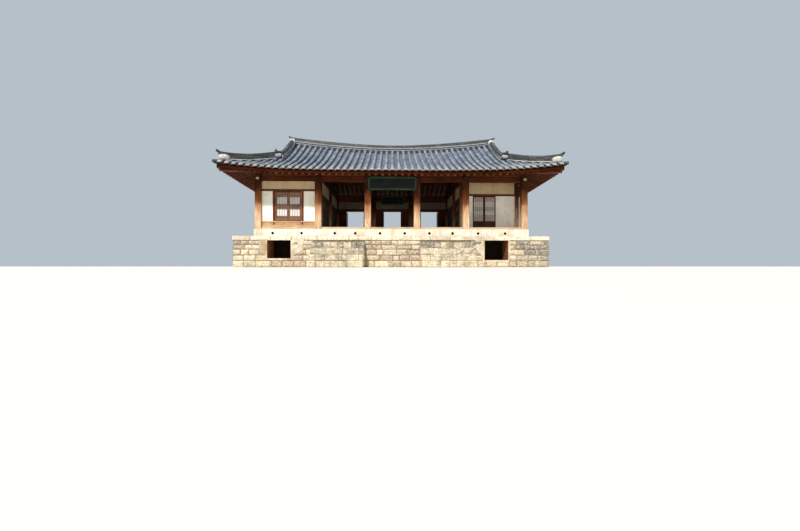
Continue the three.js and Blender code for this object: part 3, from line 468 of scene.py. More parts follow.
def stone(name, palette, blotch, moss=0.0):
    """Weathered granite: each block takes its tone from the palette."""
    look = Look(name, 0.9)
    tone = look.tone() + (look.noise(1.1, 3) + -0.5) * 0.5
    base = look.ramp(tone, *[((i + 0.5) / len(palette), colour) for i, colour in enumerate(palette)])
    cloud = look.noise(4.2, 6, roughness=0.7)
    speck = look.noise(70, 3)
    patch = look.noise(9, 5, (1, 1, 1.6), 0.75)
    worn = look.mix(look.mask(patch, 0.53, 0.38) * 0.5, base, (0.86, 0.8, 0.68))
    blotched = look.mix(look.mask(cloud * 0.5 + patch * 0.5, 0.5, 0.6) * 0.72, worn, blotch)
    grained = look.mix(look.mask(speck, 0.45, 0.75) * 0.35, blotched, (0.2, 0.18, 0.16))
    if moss:
        green = look.mask(look.noise(2.3, 6, roughness=0.7), 0.5, 0.62) * moss
        grained = look.mix(green, grained, (0.11, 0.1, 0.055))
    look.bump(cloud * 0.7 + look.noise(24, 5, roughness=0.7) * 0.5, 0.75, 0.02)
    return look.paint(grained, look.mask(speck, -1.2, 1.4))


def mortar(name, pale, dark, specular=0.3):
    """Earth and lime between stones and under tiles."""
    look = Look(name, 0.95, specular)
    cloud = look.noise(6, 6, roughness=0.7)
    fine = look.noise(60, roughness=0.7)
    look.bump(cloud + fine * 0.5, 0.6, 0.012)
    return look.paint(look.ramp(cloud * 0.7 + fine * 0.3, (0.35, dark), (0.6, pale)))


def roof_tile(name, dark, mid, light, moss=0.25, bloom=0.0):
    """Fired grey clay: smoky patches, a little lichen, and a pale bloom towards the eaves."""
    look = Look(name, 0.45)
    cloud = look.noise(2.2)
    fine = look.noise(42, roughness=0.7)
    tone = look.tone() * 0.34 + (cloud * 0.36 + fine * 0.3)
    colour = look.ramp(tone, (0.2, dark), (0.48, mid), (0.8, light))
    if bloom:
        colour = look.mix(look.mask(look.height(), 5.0, 4.45) * bloom, colour, (0.44, 0.45, 0.46))
    lichen = look.mask(look.noise(8, 6, roughness=0.75), 0.58, 0.72) * moss
    look.bump(fine + cloud * 0.4, 0.35, 0.004)
    return look.paint(look.mix(lichen, colour, (0.3, 0.29, 0.24)), look.mask(fine, -0.35, 1.45))


def paper(name):
    """Mulberry paper behind the lattice, with fibres and a faint cloudy tone."""
    look = Look(name, 0.9)
    fibre = look.noise(60, 5, (1, 1, 0.3), 0.7, 1.2)
    cloud = look.noise(3)
    look.bump(fibre, 0.15, 0.002)
    mixed = fibre * 0.4 + cloud * 0.6
    return look.paint(look.ramp(mixed, (0.35, (0.5, 0.48, 0.45)), (0.65, (0.64, 0.63, 0.61))))


def painted_board(name, dark, light):
    """Old paint on a wooden board, worn along the grain."""
    look = Look(name, 0.7, 0.12)
    fine = look.noise(30, 5, (0.08, 1, 1), 0.65)
    worn = look.mask(look.noise(6, 6, (0.4, 1, 1), 0.7), 0.45, 0.8)
    look.bump(fine, 0.3, 0.004)
    return look.paint(look.mix(worn * 0.6, look.ramp(fine, (0.35, dark), (0.7, light)), light))


PINE = (0.03, 0.006, 0.0015), (0.1, 0.022, 0.005), (0.2, 0.054, 0.014)
# Inner pine is darker than the outer pine: painted shade inside the hall.
SHADED_INNER_PINE = (0.02, 0.009, 0.005), (0.055, 0.024, 0.012), (0.11, 0.053, 0.027)
FLOOR_PINE = (0.13, 0.08, 0.05), (0.3, 0.2, 0.13), (0.46, 0.34, 0.24)
TIMBER_X, TIMBER_Y, TIMBER_Z = [timber(f"timber_{axis}", *PINE, axis) for axis in "xyz"]
LINTEL_WOOD = timber("lintel_wood", (0.034, 0.011, 0.005), (0.09, 0.031, 0.013), (0.19, 0.073, 0.031), "x")
SILL_WOOD = timber("sill_wood", (0.22, 0.11, 0.055), (0.5, 0.3, 0.16), (0.68, 0.48, 0.3), "x")
WINDOW_WOOD = timber("window_wood", (0.06, 0.026, 0.015), (0.19, 0.088, 0.05), (0.34, 0.18, 0.11))
COLUMN_WOOD = column_timber("column_wood")
INNER_WOOD = timber("inner_wood", *SHADED_INNER_PINE, "y")
INNER_POST_WOOD = timber("inner_post_wood", *SHADED_INNER_PINE)
# Near-black pine: painted shade under the eaves, on the eave boards, the deck rim and the gable soffits.
SHADED_EAVE_WOOD = timber("eave_wood_painted_shade", (0.009, 0.001, 0.0005), (0.03, 0.005, 0.001), (0.07, 0.013, 0.003), "x",
                   specular=0.03)
RAFTER_WOOD = timber("rafter_wood", (0.03, 0.006, 0.002), (0.09, 0.02, 0.005), (0.17, 0.048, 0.014), "y")
RAFTER_END = timber("rafter_end", (0.06, 0.013, 0.003), (0.14, 0.034, 0.009), (0.24, 0.075, 0.024))
# Darker than the other rafters: painted shade in the corners of the roof.
SHADED_FAN_WOOD = timber("fan_wood_painted_shade", (0.02, 0.004, 0.0013), (0.06, 0.013, 0.0035), (0.12, 0.033, 0.01), "y")
FLOOR_WOOD = timber("floor_wood", *FLOOR_PINE, "y", 0.55)
FLOOR_WOOD_X = timber("floor_wood_x", *FLOOR_PINE, "x", 0.55)
EDGE_WOOD = timber("edge_wood", (0.25, 0.17, 0.1), (0.48, 0.36, 0.24), (0.66, 0.53, 0.38), "x")
WALL_PLASTER = plaster("wall_plaster", (0.86, 0.83, 0.76), (0.68, 0.61, 0.49), 0.35, 0.04)
# Darker, warmer copy of the wall plaster: painted shade and painted warm bounce light on the upper panels
# under the eaves.
SHADED_HIGH_PLASTER = plaster("high_plaster_painted_shade", (0.56, 0.43, 0.27), (0.42, 0.3, 0.17), 0.35, 0.04)
BAND_PLASTER = plaster("band_plaster", (0.8, 0.76, 0.68), (0.56, 0.46, 0.32), 0.6, 0.09)
HOLE_PLASTER = plaster("hole_plaster", (0.68, 0.62, 0.51), (0.36, 0.26, 0.15), 0.9, 0.13)
# Dark brown plaster between the rafters: painted shade under the roof.
SHADED_CEILING_PLASTER = plaster("ceiling_plaster_painted_shade", (0.15, 0.1, 0.065), (0.09, 0.06, 0.038))
# Beige-grey plaster: painted shade on the partitions inside the hall.
SHADED_PARTITION_PLASTER = plaster("partition_plaster_painted_shade", (0.42, 0.33, 0.22), (0.3, 0.22, 0.14))
# Dark plaster: painted shade inside the hall, on the inner face of the back wall and in the roof frames.
SHADED_INNER_PLASTER = plaster("inner_plaster_painted_shade", (0.19, 0.155, 0.115), (0.12, 0.09, 0.065))
# Dark paper: painted shade on the folding screens inside the hall.
SHADED_SCREEN_PAPER = plaster("screen_paper_painted_shade", (0.3, 0.25, 0.18), (0.2, 0.16, 0.11), 0.15)
# Near-black mortar; in the recessed lowest layer of the falling ridges it is painted shadow under the pale
# band.
RIDGE_MORTAR_AND_SHADOW = mortar("ridge_mortar_and_painted_shadow", (0.06, 0.062, 0.07), (0.022, 0.024, 0.028))
BAND_MORTAR = mortar("band_mortar", (0.4, 0.42, 0.46), (0.2, 0.21, 0.23))
PALE_MORTAR = mortar("pale_mortar", (0.68, 0.66, 0.61), (0.3, 0.29, 0.27))
PLUG_MORTAR = mortar("plug_mortar", (0.52, 0.48, 0.44), (0.18, 0.165, 0.15))
WHITENED_END = mortar("whitened_end", (0.5, 0.43, 0.36), (0.34, 0.28, 0.22))
STAIR_MORTAR = mortar("stair_mortar", (0.56, 0.48, 0.35), (0.22, 0.17, 0.11))
EARTH = mortar("earth", (0.3, 0.23, 0.14), (0.1, 0.07, 0.04))
# Near-black earth: the clay bed, painted as shade in the gaps under and between the tiles.
SHADED_TILE_EARTH = mortar("tile_earth_painted_shade", (0.06, 0.055, 0.05), (0.025, 0.022, 0.02))
# Soot in the fire holes; in the vent pipes its black is painted shade inside the vents.
SOOT_AND_SHADE = mortar("soot_and_painted_shade", (0.022, 0.015, 0.011), (0.007, 0.005, 0.004), 0.05)
BURNT = mortar("burnt", (0.34, 0.14, 0.05), (0.1, 0.035, 0.014))
TILE = roof_tile("tile", (0.068, 0.082, 0.11), (0.147, 0.177, 0.228), (0.315, 0.358, 0.425), 0.25, 0.5)
PAN_TILE = roof_tile("pan_tile", (0.088, 0.103, 0.138), (0.187, 0.223, 0.285), (0.35, 0.4, 0.48), 0.25, 0.3)
RIDGE_TILE = roof_tile("ridge_tile", (0.015, 0.016, 0.018), (0.045, 0.047, 0.05), (0.13, 0.135, 0.135), 0.3)
IRON = roof_tile("iron", (0.012, 0.011, 0.01), (0.03, 0.026, 0.022), (0.07, 0.055, 0.045), 0.2)
PLATFORM_STONE = stone(
    "platform_stone",
    [(0.5, 0.41, 0.26), (0.68, 0.58, 0.42), (0.33, 0.28, 0.19), (0.4, 0.28, 0.19), (0.14, 0.13, 0.115)],
    (0.2, 0.14, 0.08))
EDGE_STONE = stone(
    "edge_stone",
    [(0.66, 0.58, 0.45), (0.74, 0.67, 0.54), (0.55, 0.46, 0.34), (0.45, 0.36, 0.26)],
    (0.36, 0.27, 0.17))
STAIR_STONE = stone(
    "stair_stone",
    [(0.5, 0.41, 0.27), (0.66, 0.56, 0.4), (0.38, 0.32, 0.22), (0.15, 0.14, 0.125)],
    (0.22, 0.17, 0.1), 0.5)
PAPER = paper("window_paper")
BOARD_FIELD = painted_board("board_field", (0.005, 0.009, 0.009), (0.014, 0.022, 0.02))
BOARD_FRAME = painted_board("board_frame", (0.012, 0.03, 0.018), (0.055, 0.1, 0.056))


def finish_nodes(look, *names):
    """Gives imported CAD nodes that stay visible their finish."""
    for name in names:
        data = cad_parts[name].data
        data.materials.clear()
        data.materials.append(look)


# Platform


def block(kit, place, u0, u1, v0, v1, front, tone):
    """Rough stone with a pillowed face. place(u, v, out) gives a point in front of the wall line."""
    rng = kit.rng
    shade = rng.random() if tone is None else tone
    chamfer = min(0.022, (v1 - v0) / 6, (u1 - u0) / 6)

    def marks(a, b, pitch):
        count = max(4, int((b - a) / pitch) + 3)
        return [a, a + chamfer, *spaced(a, b, count - 2)[1:-1], b - chamfer, b]

    us, vs = marks(u0, u1, 0.14), marks(v0, v1, 0.12)
    skew = [rng.uniform(-0.012, 0.012) for _ in range(4)]
    bulge = rng.uniform(0.0, 0.014)
    grid = []
    for j, v in enumerate(vs):
        for i, u in enumerate(us):
            s, t = (u - u0) / (u1 - u0), (v - v0) / (v1 - v0)
            on_rim = i in (0, len(us) - 1) or j in (0, len(vs) - 1)
            out = front - (0.022 if on_rim else 0) + bulge * math.sin(math.pi * s) * math.sin(math.pi * t)
            out += rng.uniform(-0.006, 0.006)
            lean = (skew[0] * (1 - s) + skew[1] * s) * (1 - t) + (skew[2] * (1 - s) + skew[3] * s) * t
            grid.append(place(u + (0 if on_rim else 0.5 * lean), v, out + lean * 0.5))
    cols = len(us)
    kit.add(grid, grid_quads(len(vs), cols), 0, shade, smooth=True)
    rim = grid_rim(len(vs), cols)
    rear = [place(us[i % cols], vs[i // cols], STONE_BACK) for i in rim]
    kit.add([grid[i] for i in rim] + rear, edge_quads(len(rim)), 0, shade)


def rough_box(kit, xs, ys, z0, z1, shade, wobble=0.014, crown=0.6, wobble_x=False):
    """Stone slab with slightly uneven corners."""
    (x0, x1), (y0, y1) = sorted(xs), sorted(ys)

    def jog():
        return kit.rng.uniform(-wobble, wobble)

    def jog_x():
        return jog() if wobble_x else 0

    ring = [(x0, y0), (x1, y0), (x1, y1), (x0, y1)]
    bottom = [(x + jog_x(), y + jog(), z0) for x, y in ring]
    kit.hexa(bottom, [(x + jog_x(), y + jog(), z1 + jog() * crown) for x, y in ring], 0, shade)


def split(rng, a, b, low, high):
    """Cuts a span into random lengths, with no sliver at its end."""
    cuts = [a]
    while b - cuts[-1] > high:
        cuts.append(cuts[-1] + rng.uniform(low, high))
    if len(cuts) > 1 and b - cuts[-1] < low * 0.6:
        cuts.pop()
    return pairs([*cuts, b])


def coursed(kit, place, spans, lengths, joint, proud, tones=None):
    """Courses of stones. spans(v) gives the stretches of u that the course from height v up fills."""
    rng = kit.rng
    for v0, v1 in pairs(COURSES):
        for start, end in spans(v0):
            for a, b in split(rng, start, end, *lengths):
                gap = joint * rng.uniform(0.5, 1.3)
                tone = tones(a, v0, rng) if tones else None
                front = proud + rng.uniform(-0.008, 0.008)
                block(kit, place, a + gap / 2, b - gap / 2, v0 + gap / 2, v1 - gap / 2, front, tone)


def four_sides(half_x, half_y):
    """Half the length of a block's front, back, right and left side, and its place(u, v, out)."""
    return [(half_x, lambda u, v, out: (u, -half_y - out, v)),
            (half_x, lambda u, v, out: (-u, half_y + out, v)),
            (half_y, lambda u, v, out: (half_x + out, u, v)),
            (half_y, lambda u, v, out: (-half_x - out, -u, v))]


def front_spans(v):
    """The parts of the platform's front that stairs and fire holes leave free."""
    blocked = [(a + 0.03, b - 0.03) for a, b in STAIRS.values()]
    if v > 0.2:
        blocked += [(x0 - JAMB, x1 + JAMB) for x0, x1, _, _ in FIRE_HOLES]
    parts = [(-HALF_X, HALF_X)]
    for low, high in blocked:
        cut = [piece for a, b in parts for piece in ((a, min(b, low)), (max(a, high), b))]
        parts = [(a, b) for a, b in cut if b - a > 0.08]
    return parts


def front_tone(u, v, rng):
    """Tones of the front's stones: dark at the right end as painted shadow, mixed between the stairs, pale
    high up.
    """
    # Darker tones at the right end are the painted shadow of a tree.
    if u > 5.5:
        return rng.choice((0.5, 0.55, 0.9, 0.95)) + rng.uniform(-0.05, 0.05)
    if -1.3 < u < 1.3:
        return rng.choice((0.15, 0.35, 0.7, 0.72, 0.5)) + rng.uniform(-0.06, 0.06)
    if v > 0.8 and rng.random() < 0.6:
        return rng.uniform(0.62, 0.98)
    return rng.uniform(0.02, 0.66)


def platform_stones():
    kit = Kit(11)
    (_, front), *others = four_sides(HALF_X, HALF_Y)
    coursed(kit, front, front_spans, (0.3, 0.75), 0.03, 0.022, front_tone)
    for half, place in others:
        coursed(kit, place, lambda v: [(-half, half)], (0.35, 0.8), 0.02, 0.018)
    kit.build("platform_stones", [PLATFORM_STONE], "stone")


def edge_slabs():
    """Long slabs that cap the platform."""
    kit = Kit(12)
    top = PLATFORM_TOP + 0.006
    out, depth, joint = 0.035, 0.42, 0.006

    def slab(xs, ys):
        shade = kit.rng.uniform(0.05, 0.75)
        rough_box(kit, xs, ys, EDGE_SLAB_BOTTOM, top, shade, 0.007, 0.4, wobble_x=True)

    for side in (-1, 1):
        for a, b in split(kit.rng, -HALF_X - 0.03, HALF_X + 0.03, 0.55, 1.15):
            slab((a + joint, b - joint), (side * (HALF_Y + out), side * (HALF_Y - depth)))
        for a, b in split(kit.rng, -HALF_Y + 0.43, HALF_Y - 0.43, 0.55, 1.1):
            slab((side * (HALF_X + out), side * (HALF_X - depth)), (a + joint, b - joint))
    kit.build("platform_edge_slabs", [EDGE_STONE], "stone", bevel=0.014)


def rendered_edge(rng, u_hole, u_far, low, high):
    """Ragged patch of render beside a fire hole: wide at the top, thin at the foot."""
    points = []
    for t in spaced(0, 1, 9):
        wide = 0.22 + 0.78 * min(1, max(0, (t - 0.28) / 0.3)) ** 0.7
        points.append((u_hole + (u_far - u_hole) * wide * rng.uniform(0.84, 1.06), low + (high - low) * t))
    return [(u_hole, low), *points, (u_hole, high)]


def fire_hole_surrounds():
    """Lime render round the two fire holes, and the burnt linings behind them."""
    kit = Kit(13)
    out, wall, deep = -HALF_Y - 0.03, -HALF_Y + 0.01, -HALF_Y + 0.885
    thick = 0.012
    for (x0, x1, z0, z1), (a, b) in zip(FIRE_HOLES, SURROUNDS):
        for u_hole, u_far in ((x0, a), (x1, b)):
            outline = rendered_edge(kit.rng, u_hole, u_far, z0 - 0.07, EDGE_SLAB_BOTTOM)
            if u_far < u_hole:
                outline.reverse()
            kit.plate([(u, out, v) for u, v in outline], [(u, wall, v) for u, v in outline])
        kit.box(x0, x1, out, wall, z0 - 0.09, z0)
        kit.box(x0, x1, out, wall, z1, EDGE_SLAB_BOTTOM)
        for a, b, c, d, slot in ((x0, x0 + thick, z0, z1, 2), (x1 - thick, x1, z0, z1, 2),
                                 (x0, x1, z1 - thick, z1, 1), (x0, x1, z0, z0 + thick, 2)):
            kit.box(a, b, -HALF_Y, deep, c, d, slot)
        kit.box(x0, x1, deep - thick, deep, z0, z1, 1)
    kit.build("fire_hole_linings", [HOLE_PLASTER, SOOT_AND_SHADE, BURNT], "stone")


def stair_step(kit, x0, x1, step):
    """Stones of one step, the stones that line its sides further back, and the fill between them."""
    rng = kit.rng
    is_top = step == 3
    front = STAIR_FRONT + step * TREAD
    low, high = step * RISER, (step + 1) * RISER
    back = -HALF_Y - 0.002 if is_top else front + TREAD + 0.1
    for a, b in split(rng, x0, x1, *((0.16, 0.42) if is_top else (0.3, 0.85))):
        gap = rng.uniform(0.008, 0.02)
        nose = front + rng.uniform(-0.012, 0.012) + 0.02
        top = high + rng.uniform(-0.018, 0.004)
        shade = rng.uniform(0.72, 1.0) if is_top and rng.random() < 0.6 else rng.uniform(0.0, 0.62)
        rough_box(kit, (a + gap / 2, b - gap / 2), (nose, back), low + 0.008, top, shade)
    if back < -HALF_Y - 0.2:
        for xs in ((x0 + 0.004, x0 + 0.4), (x1 - 0.4, x1 - 0.004)):
            for a, b in split(rng, back + 0.008, -HALF_Y - 0.004, 0.3, 0.6):
                rough_box(kit, xs, (a + 0.006, b - 0.006), low + 0.006, high - 0.004, 0.45)
    kit.box(x0 + 0.05, x1 - 0.05, front + 0.06, -HALF_Y - 0.002, low, high - 0.03, 1)


def stairs():
    for seed, (name, (x0, x1)) in enumerate(STAIRS.items(), 21):
        kit = Kit(seed)
        for step in range(4):
            stair_step(kit, x0, x1, step)
        kit.build(f"{name}_stones", [STAIR_STONE, STAIR_MORTAR], "stone", replaces=[name], bevel=0.018)


def vent(kit, rim, place, hole):
    """Square of wall round one round vent, and the clay pipe that lines it."""
    z0, z1 = BAND_LOW, BAND_HIGH
    n = VENT_SIDES
    square = []
    for c, s in circle(n):
        upright = ((z1 - VENT_Z) if s > 0 else (VENT_Z - z0)) / max(abs(s), 1e-6)
        reach = min(VENT_CELL / max(abs(c), 1e-6), upright)
        square.append((hole + c * reach, VENT_Z + s * reach))
    outline = square + [(hole + c * VENT_RADIUS, VENT_Z + s * VENT_RADIUS) for c, s in circle(n)]
    faces = []
    for i in range(n):
        j = (i + 1) % n
        faces.append((i, j, n + j, n + i))
        faces.append((2 * n + j, 2 * n + i, 3 * n + i, 3 * n + j))
    kit.add([place(u, z, out) for out in (0, -BAND_THICK) for u, z in outline], faces, 0, 0.5)
    for side, z in ((-1, z0), (1, z0), (1, z1), (-1, z1)):
        u = hole + side * VENT_CELL
        nearest = sorted(range(n), key=lambda i: (square[i][0] - u) ** 2 + (square[i][1] - z) ** 2)[:2]
        p, q = (square[i] for i in sorted(nearest))
        for out in (0, -BAND_THICK):
            kit.add([place(u, z, out), place(*p, out), place(*q, out)], [(0, 1, 2)], 0, 0.5)
    # The pipe takes the near-black soot finish: painted shade inside the vent.
    pipe = []
    for out, wall in ((0.008, 0.008), (0.008, 0.0), (-BAND_THICK, 0.0)):
        reach = VENT_RADIUS - 0.0005 + wall
        pipe += [place(hole + c * reach, VENT_Z + s * reach, out) for c, s in circle(n)]
    rim.add(pipe, between(3, n), 0, 0.5, smooth=True)


def pierced(kit, rim, place, half, holes):
    """Plastered wall from -half to half, with round vents."""
    cuts = sorted([-half, half] + [h + d for h in holes for d in (-VENT_CELL, VENT_CELL)])
    for a, b in zip(cuts[::2], cuts[1::2]):
        corners = [(a, BAND_LOW), (b, BAND_LOW), (b, BAND_HIGH), (a, BAND_HIGH)]
        verts = [place(u, z, out) for out in (0, -BAND_THICK) for u, z in corners]
        kit.add(verts, [(0, 1, 2, 3), (7, 6, 5, 4), (3, 2, 6, 7), (4, 5, 1, 0)], 0, 0.5)
    for hole in holes:
        vent(kit, rim, place, hole)


def underfloor_band():
    """Plaster round the space under the floor, with its vents, and the fillet under the floor edge."""
    out_x, out_y = END_X + BAND_OUT, HALF_DEPTH + BAND_OUT
    kit, rim = Kit(31), Kit(33)
    vents = [a + (b - a) * f for (a, b), shares in zip(pairs(COLUMN_LINES), VENT_SHARES) for f in shares]
    for (half, place), holes in zip(four_sides(out_x, out_y), (vents, vents, END_VENTS, END_VENTS)):
        pierced(kit, rim, place, half, holes)
    inner_x, inner_y = out_x - LIP_DEPTH, out_y - LIP_DEPTH
    for sign in (-1, 1):
        kit.box(-out_x, out_x, sign * out_y, sign * inner_y, BAND_HIGH, LIP_TOP, 0, 0.5)
        kit.box(sign * out_x, sign * inner_x, -inner_y, inner_y, BAND_HIGH, LIP_TOP, 0, 0.5)
    kit.build("underfloor_plaster", [BAND_PLASTER], "lime_plaster", replaces=["underfloor_wall"])
    rim.build("vent_pipes", [SOOT_AND_SHADE], "roof_tile")


def floors():
    """Boards between joists, with a pale rim in front and behind."""
    rim, joist, joist_top, board_bottom = 0.14, 0.07, FLOOR_TOP - 0.001, FLOOR_BOTTOM + 0.1
    inner_y = FLOOR_EDGE_Y - rim - 0.001
    hall_x = HALL_X - SLIT
    for name, x0, x1 in (("left_room_floor", -ROOM_FLOOR_X, -HALL_X), ("hall_floor", -hall_x, hall_x),
                         ("right_room_floor", HALL_X, ROOM_FLOOR_X)):
        kit = Kit(161)
        for y in (-FLOOR_EDGE_Y, FLOOR_EDGE_Y - rim):
            kit.box(x0, x1, y, y + rim, FLOOR_BOTTOM, FLOOR_TOP, 1)
        joists = spaced(x0 + joist, x1 - joist, max(2, round((x1 - x0) / 0.95)))
        for x in joists:
            kit.box(max(x0, x - joist), min(x1, x + joist), -inner_y, inner_y, FLOOR_BOTTOM, joist_top)
        for a, b in pairs(joists):
            for c, d in pairs(spaced(-inner_y, inner_y, 22)):
                top = FLOOR_TOP - kit.rng.uniform(0.001, 0.004)
                kit.box(a + 0.071, b - 0.071, c + 0.001, d - 0.001, board_bottom, top, 2)
        kit.build(f"{name}_boards", [FLOOR_WOOD, EDGE_WOOD, FLOOR_WOOD_X], "floor_boards", replaces=[name])


# Roof


def slope_side(name, side):
    """Front or back side of the roof. u runs along the eave, reach out from the ridge line."""

    def diagonal(x):
        return abs(x) - (CORNER_X - CORNER_Y)

    return SimpleNamespace(
        name=name, node=f"{name}_roof_slope", seed=41 + side, rows=25, steps=16, turned=side < 0,
        place=lambda u, reach, z: (u, side * reach, z), eave=eave_y, hip=hip_y,
        overlap=lambda x: 0.1 if abs(x) <= VERGE_X else 0.03, top=slope_top, under=slope_under,
        corner=CORNER_X, boards=44, decks=[(spaced(-GABLE_X, GABLE_X, 24), lambda x: 0.0, 14),
                                           (spaced(GABLE_X, CORNER_X - 0.24, 8), diagonal, 14),
                                           (spaced(-CORNER_X + 0.24, -GABLE_X, 8), diagonal, 14)])


def skirt_side(name, side):
    """Left or right end of the roof. u runs along the eave, reach out from the middle of the hall."""
    return SimpleNamespace(
        name=f"{name}_end", node=f"{name}_roof_skirt", seed=45 + side, rows=13, steps=10, turned=side > 0,
        place=lambda u, reach, z: (side * reach, u, z), eave=eave_x, hip=hip_x, overlap=lambda y: 0.02,
        top=lambda y, x: skirt_top(x, y), under=lambda y, x: skirt_under(x, y),
        corner=CORNER_Y, boards=24, decks=[(spaced(-CORNER_Y + 0.24, CORNER_Y - 0.24, 26), hip_x, 8)])


SLOPES = [slope_side("front", -1), slope_side("back", 1)]
SKIRTS = [skirt_side("left", -1), skirt_side("right", 1)]
SLOPE_NODES = [part.node for part in SLOPES]
ROOF_NODES = SLOPE_NODES + [part.node for part in SKIRTS]


def cross(axis):
    """Level direction across an axis, and the direction up from it."""
    side = Vector((axis.y, -axis.x, 0)).normalized()
    return side, side.cross(axis).normalized()


def half_tube(kit, low, high, axis, r0, r1, sway=0.0, slot=0, foot_slot=None):
    """Cover tile whose crown runs from low to high."""
    side, up = cross(axis)
    sides = 6
    verts = []
    for centre, radius in ((low, r0), (high, r1)):
        heart = centre - up * radius + side * sway
        for i in range(sides + 1):
            angle = math.pi * i / sides
            verts.append(heart + side * math.cos(angle) * radius + up * math.sin(angle) * radius)
        verts += [heart - side * radius - up * 0.03, heart + side * radius - up * 0.03]
    n = sides + 3
    shade = kit.rng.random()
    kit.add(verts, [(i, i + 1, n + i + 1, n + i) for i in range(sides)], slot, shade, smooth=True)
    skirts = [(sides, sides + 1, n + sides + 1, n + sides), (sides + 2, 0, n, n + sides + 2)]
    kit.add(verts, skirts, slot if foot_slot is None else foot_slot, shade)
    # The tile's open low end takes half its tone: painted shade inside the tile.
    kit.add(verts[:n], [tuple(reversed(range(n)))], slot, shade * 0.5)


def straight_tube(kit, low, high, r0, r1, slot=0):
    half_tube(kit, low, high, (high - low).normalized(), r0, r1, slot=slot)


def walker(path):
    """The way from a distance along a path to the point there and its direction, and the path's length."""
    lengths = [0.0]
    for a, b in pairs(path):
        lengths.append(lengths[-1] + (b - a).length)

    def at(s):
        s = min(max(s, 0.0), lengths[-1])
        i = next((k for k in range(len(path) - 1) if s <= lengths[k + 1]), len(path) - 2)
        t = (s - lengths[i]) / max(1e-6, lengths[i + 1] - lengths[i])
        return path[i].lerp(path[i + 1], t), (path[i + 1] - path[i]).normalized()

    return at, lengths[-1]


def eave_plug(kit, point, axis):
    """Rounded lime mortar that closes the lowest cover tile."""
    side, up = cross(axis)
    radius = COVER_RADIUS - 0.004
    heart = point - up * (COVER_RADIUS + 0.012)
    rings = []
    for out, scale in ((0.01, 1.0), (-0.01, 1.0), (-0.018, 0.86)):
        for c, s in circle(10):
            lift = s * (0.8 if s > 0 else 0.34)
            rings.append(heart + axis * out + side * c * radius * 1.38 * scale + up * lift * radius * scale)
    kit.add(rings, [*between(3, 10), tuple(range(20, 30))], 1, None, smooth=True)


def cover_row(kit, path):
    """One row of cover tiles from the eave up."""
    at, total = walker(path)
    count = max(1, round(total / COVER_LENGTH))
    step = total / count
    for i in range(count):
        low, axis = at(i * step)
        high, _ = at((i + 1) * step + 0.012)
        sway = kit.rng.uniform(-0.004, 0.004)
        # The feet of the covers take the dark tile earth: partly the earth bed, partly a painted shadow
        # line beside each cover.
        half_tube(kit, low, high, axis, COVER_RADIUS + 0.003, COVER_RADIUS - 0.006, sway, foot_slot=2)
    eave_plug(kit, *at(0.0))


def pan_row(kit, path):
    """Concave pan tiles between two rows of cover tiles, laid like shingles."""
    at, total = walker(path)
    count = max(1, round(total / PAN_EXPOSED))
    step = total / count
    sides = 4
    n = sides + 1
    for i in range(count):
        low, axis = at(i * step)
        high, _ = at((i + 1) * step)
        side, up = cross(axis)
        lift = 0.016 + kit.rng.uniform(-0.002, 0.003)
        verts = []
        for centre, rise in ((low, lift), (high, 0.0)):
            base = centre - up * (0.1 - rise)
            for t in spaced(-1, 1, sides):
                verts.append(base + side * t * (ROW_PITCH / 2) - up * PAN_SAG * (1 - t * t))
        shade = kit.rng.random()
        # The lowest pan of each row takes the dark tile earth: painted shade in the notches between the
        # eave plugs.
        slot = 0 if i else 1
        kit.add(verts, [(j, n + j, n + j + 1, j + 1) for j in range(sides)], slot, shade, smooth=True)
        # The pan's front lip takes a darker tone: painted shade under the pan above.
        kit.add(verts[:n] + [v - up * 0.02 for v in verts[:n]],
                [(n + j, j, j + 1, n + j + 1) for j in range(sides)], slot, shade * 0.7)


def roof_tiles():
    for part in SLOPES + SKIRTS:
        covers, pans = Kit(part.seed), Kit(part.seed + 10)

        def path(u, start_out=0.0):
            reaches = spaced(part.eave(u) - start_out, part.hip(u) + part.overlap(u), part.steps)
            return [Vector(part.place(u, reach, part.top(u, reach))) for reach in reaches]

        for k in range(-part.rows, part.rows + 1):
            u = k * ROW_PITCH
            if part.eave(u) - part.hip(u) > 0.2:
                cover_row(covers, path(u))
        for k in range(-part.rows - 1, part.rows + 1):
            u = (k + 0.5) * ROW_PITCH
            if part.eave(u) - part.hip(u) > 0.1:
                pan_row(pans, path(u, 0.01))
        cover_looks, pan_looks = [TILE, PLUG_MORTAR, SHADED_TILE_EARTH], [PAN_TILE, SHADED_TILE_EARTH]
        covers.build(f"{part.name}_cover_tiles", cover_looks, "roof_tile", replaces=[part.node])
        pans.build(f"{part.name}_pan_tiles", pan_looks, "roof_tile", replaces=[part.node])


def shell(kit, grid_top, grid_under):
    """Closed slab between two grids of equal size."""
    rows, cols = len(grid_top), len(grid_top[0])
    top = [p for row in grid_top for p in row]
    under = [p for row in grid_under for p in row]
    quads = grid_quads(rows, cols)
    kit.add(top, quads, 0, 0.5, smooth=True)
    kit.add(under, [tuple(reversed(q)) for q in quads], 1, 0.5, smooth=True)
    rim = grid_rim(rows, cols)
    kit.add([top[i] for i in rim] + [under[i] for i in rim], edge_quads(len(rim)), 2, 0.5)


def roof_deck():
    """Clay bed over the rafters: dark under the tiles and plastered between the rafters, both darkened as
    painted shade, with its eave rim in near-black painted shade.
    """
    kit = Kit(61)
    for part in SLOPES + SKIRTS:
        for us, inner, steps in part.decks:
            if part.turned:
                us = us[::-1]
            lines = [(u, spaced(part.eave(u) - 0.1, inner(u), steps)) for u in us]

            def surface(height, lift):
                return [[part.place(u, r, height(u, r) + lift) for r in reaches] for u, reaches in lines]

            shell(kit, surface(part.top, -TILE_BED), surface(part.under, CEILING_LIFT))
    kit.build("roof_deck", [SHADED_TILE_EARTH, SHADED_CEILING_PLASTER, SHADED_EAVE_WOOD], "roof_tile", replaces=ROOF_NODES)


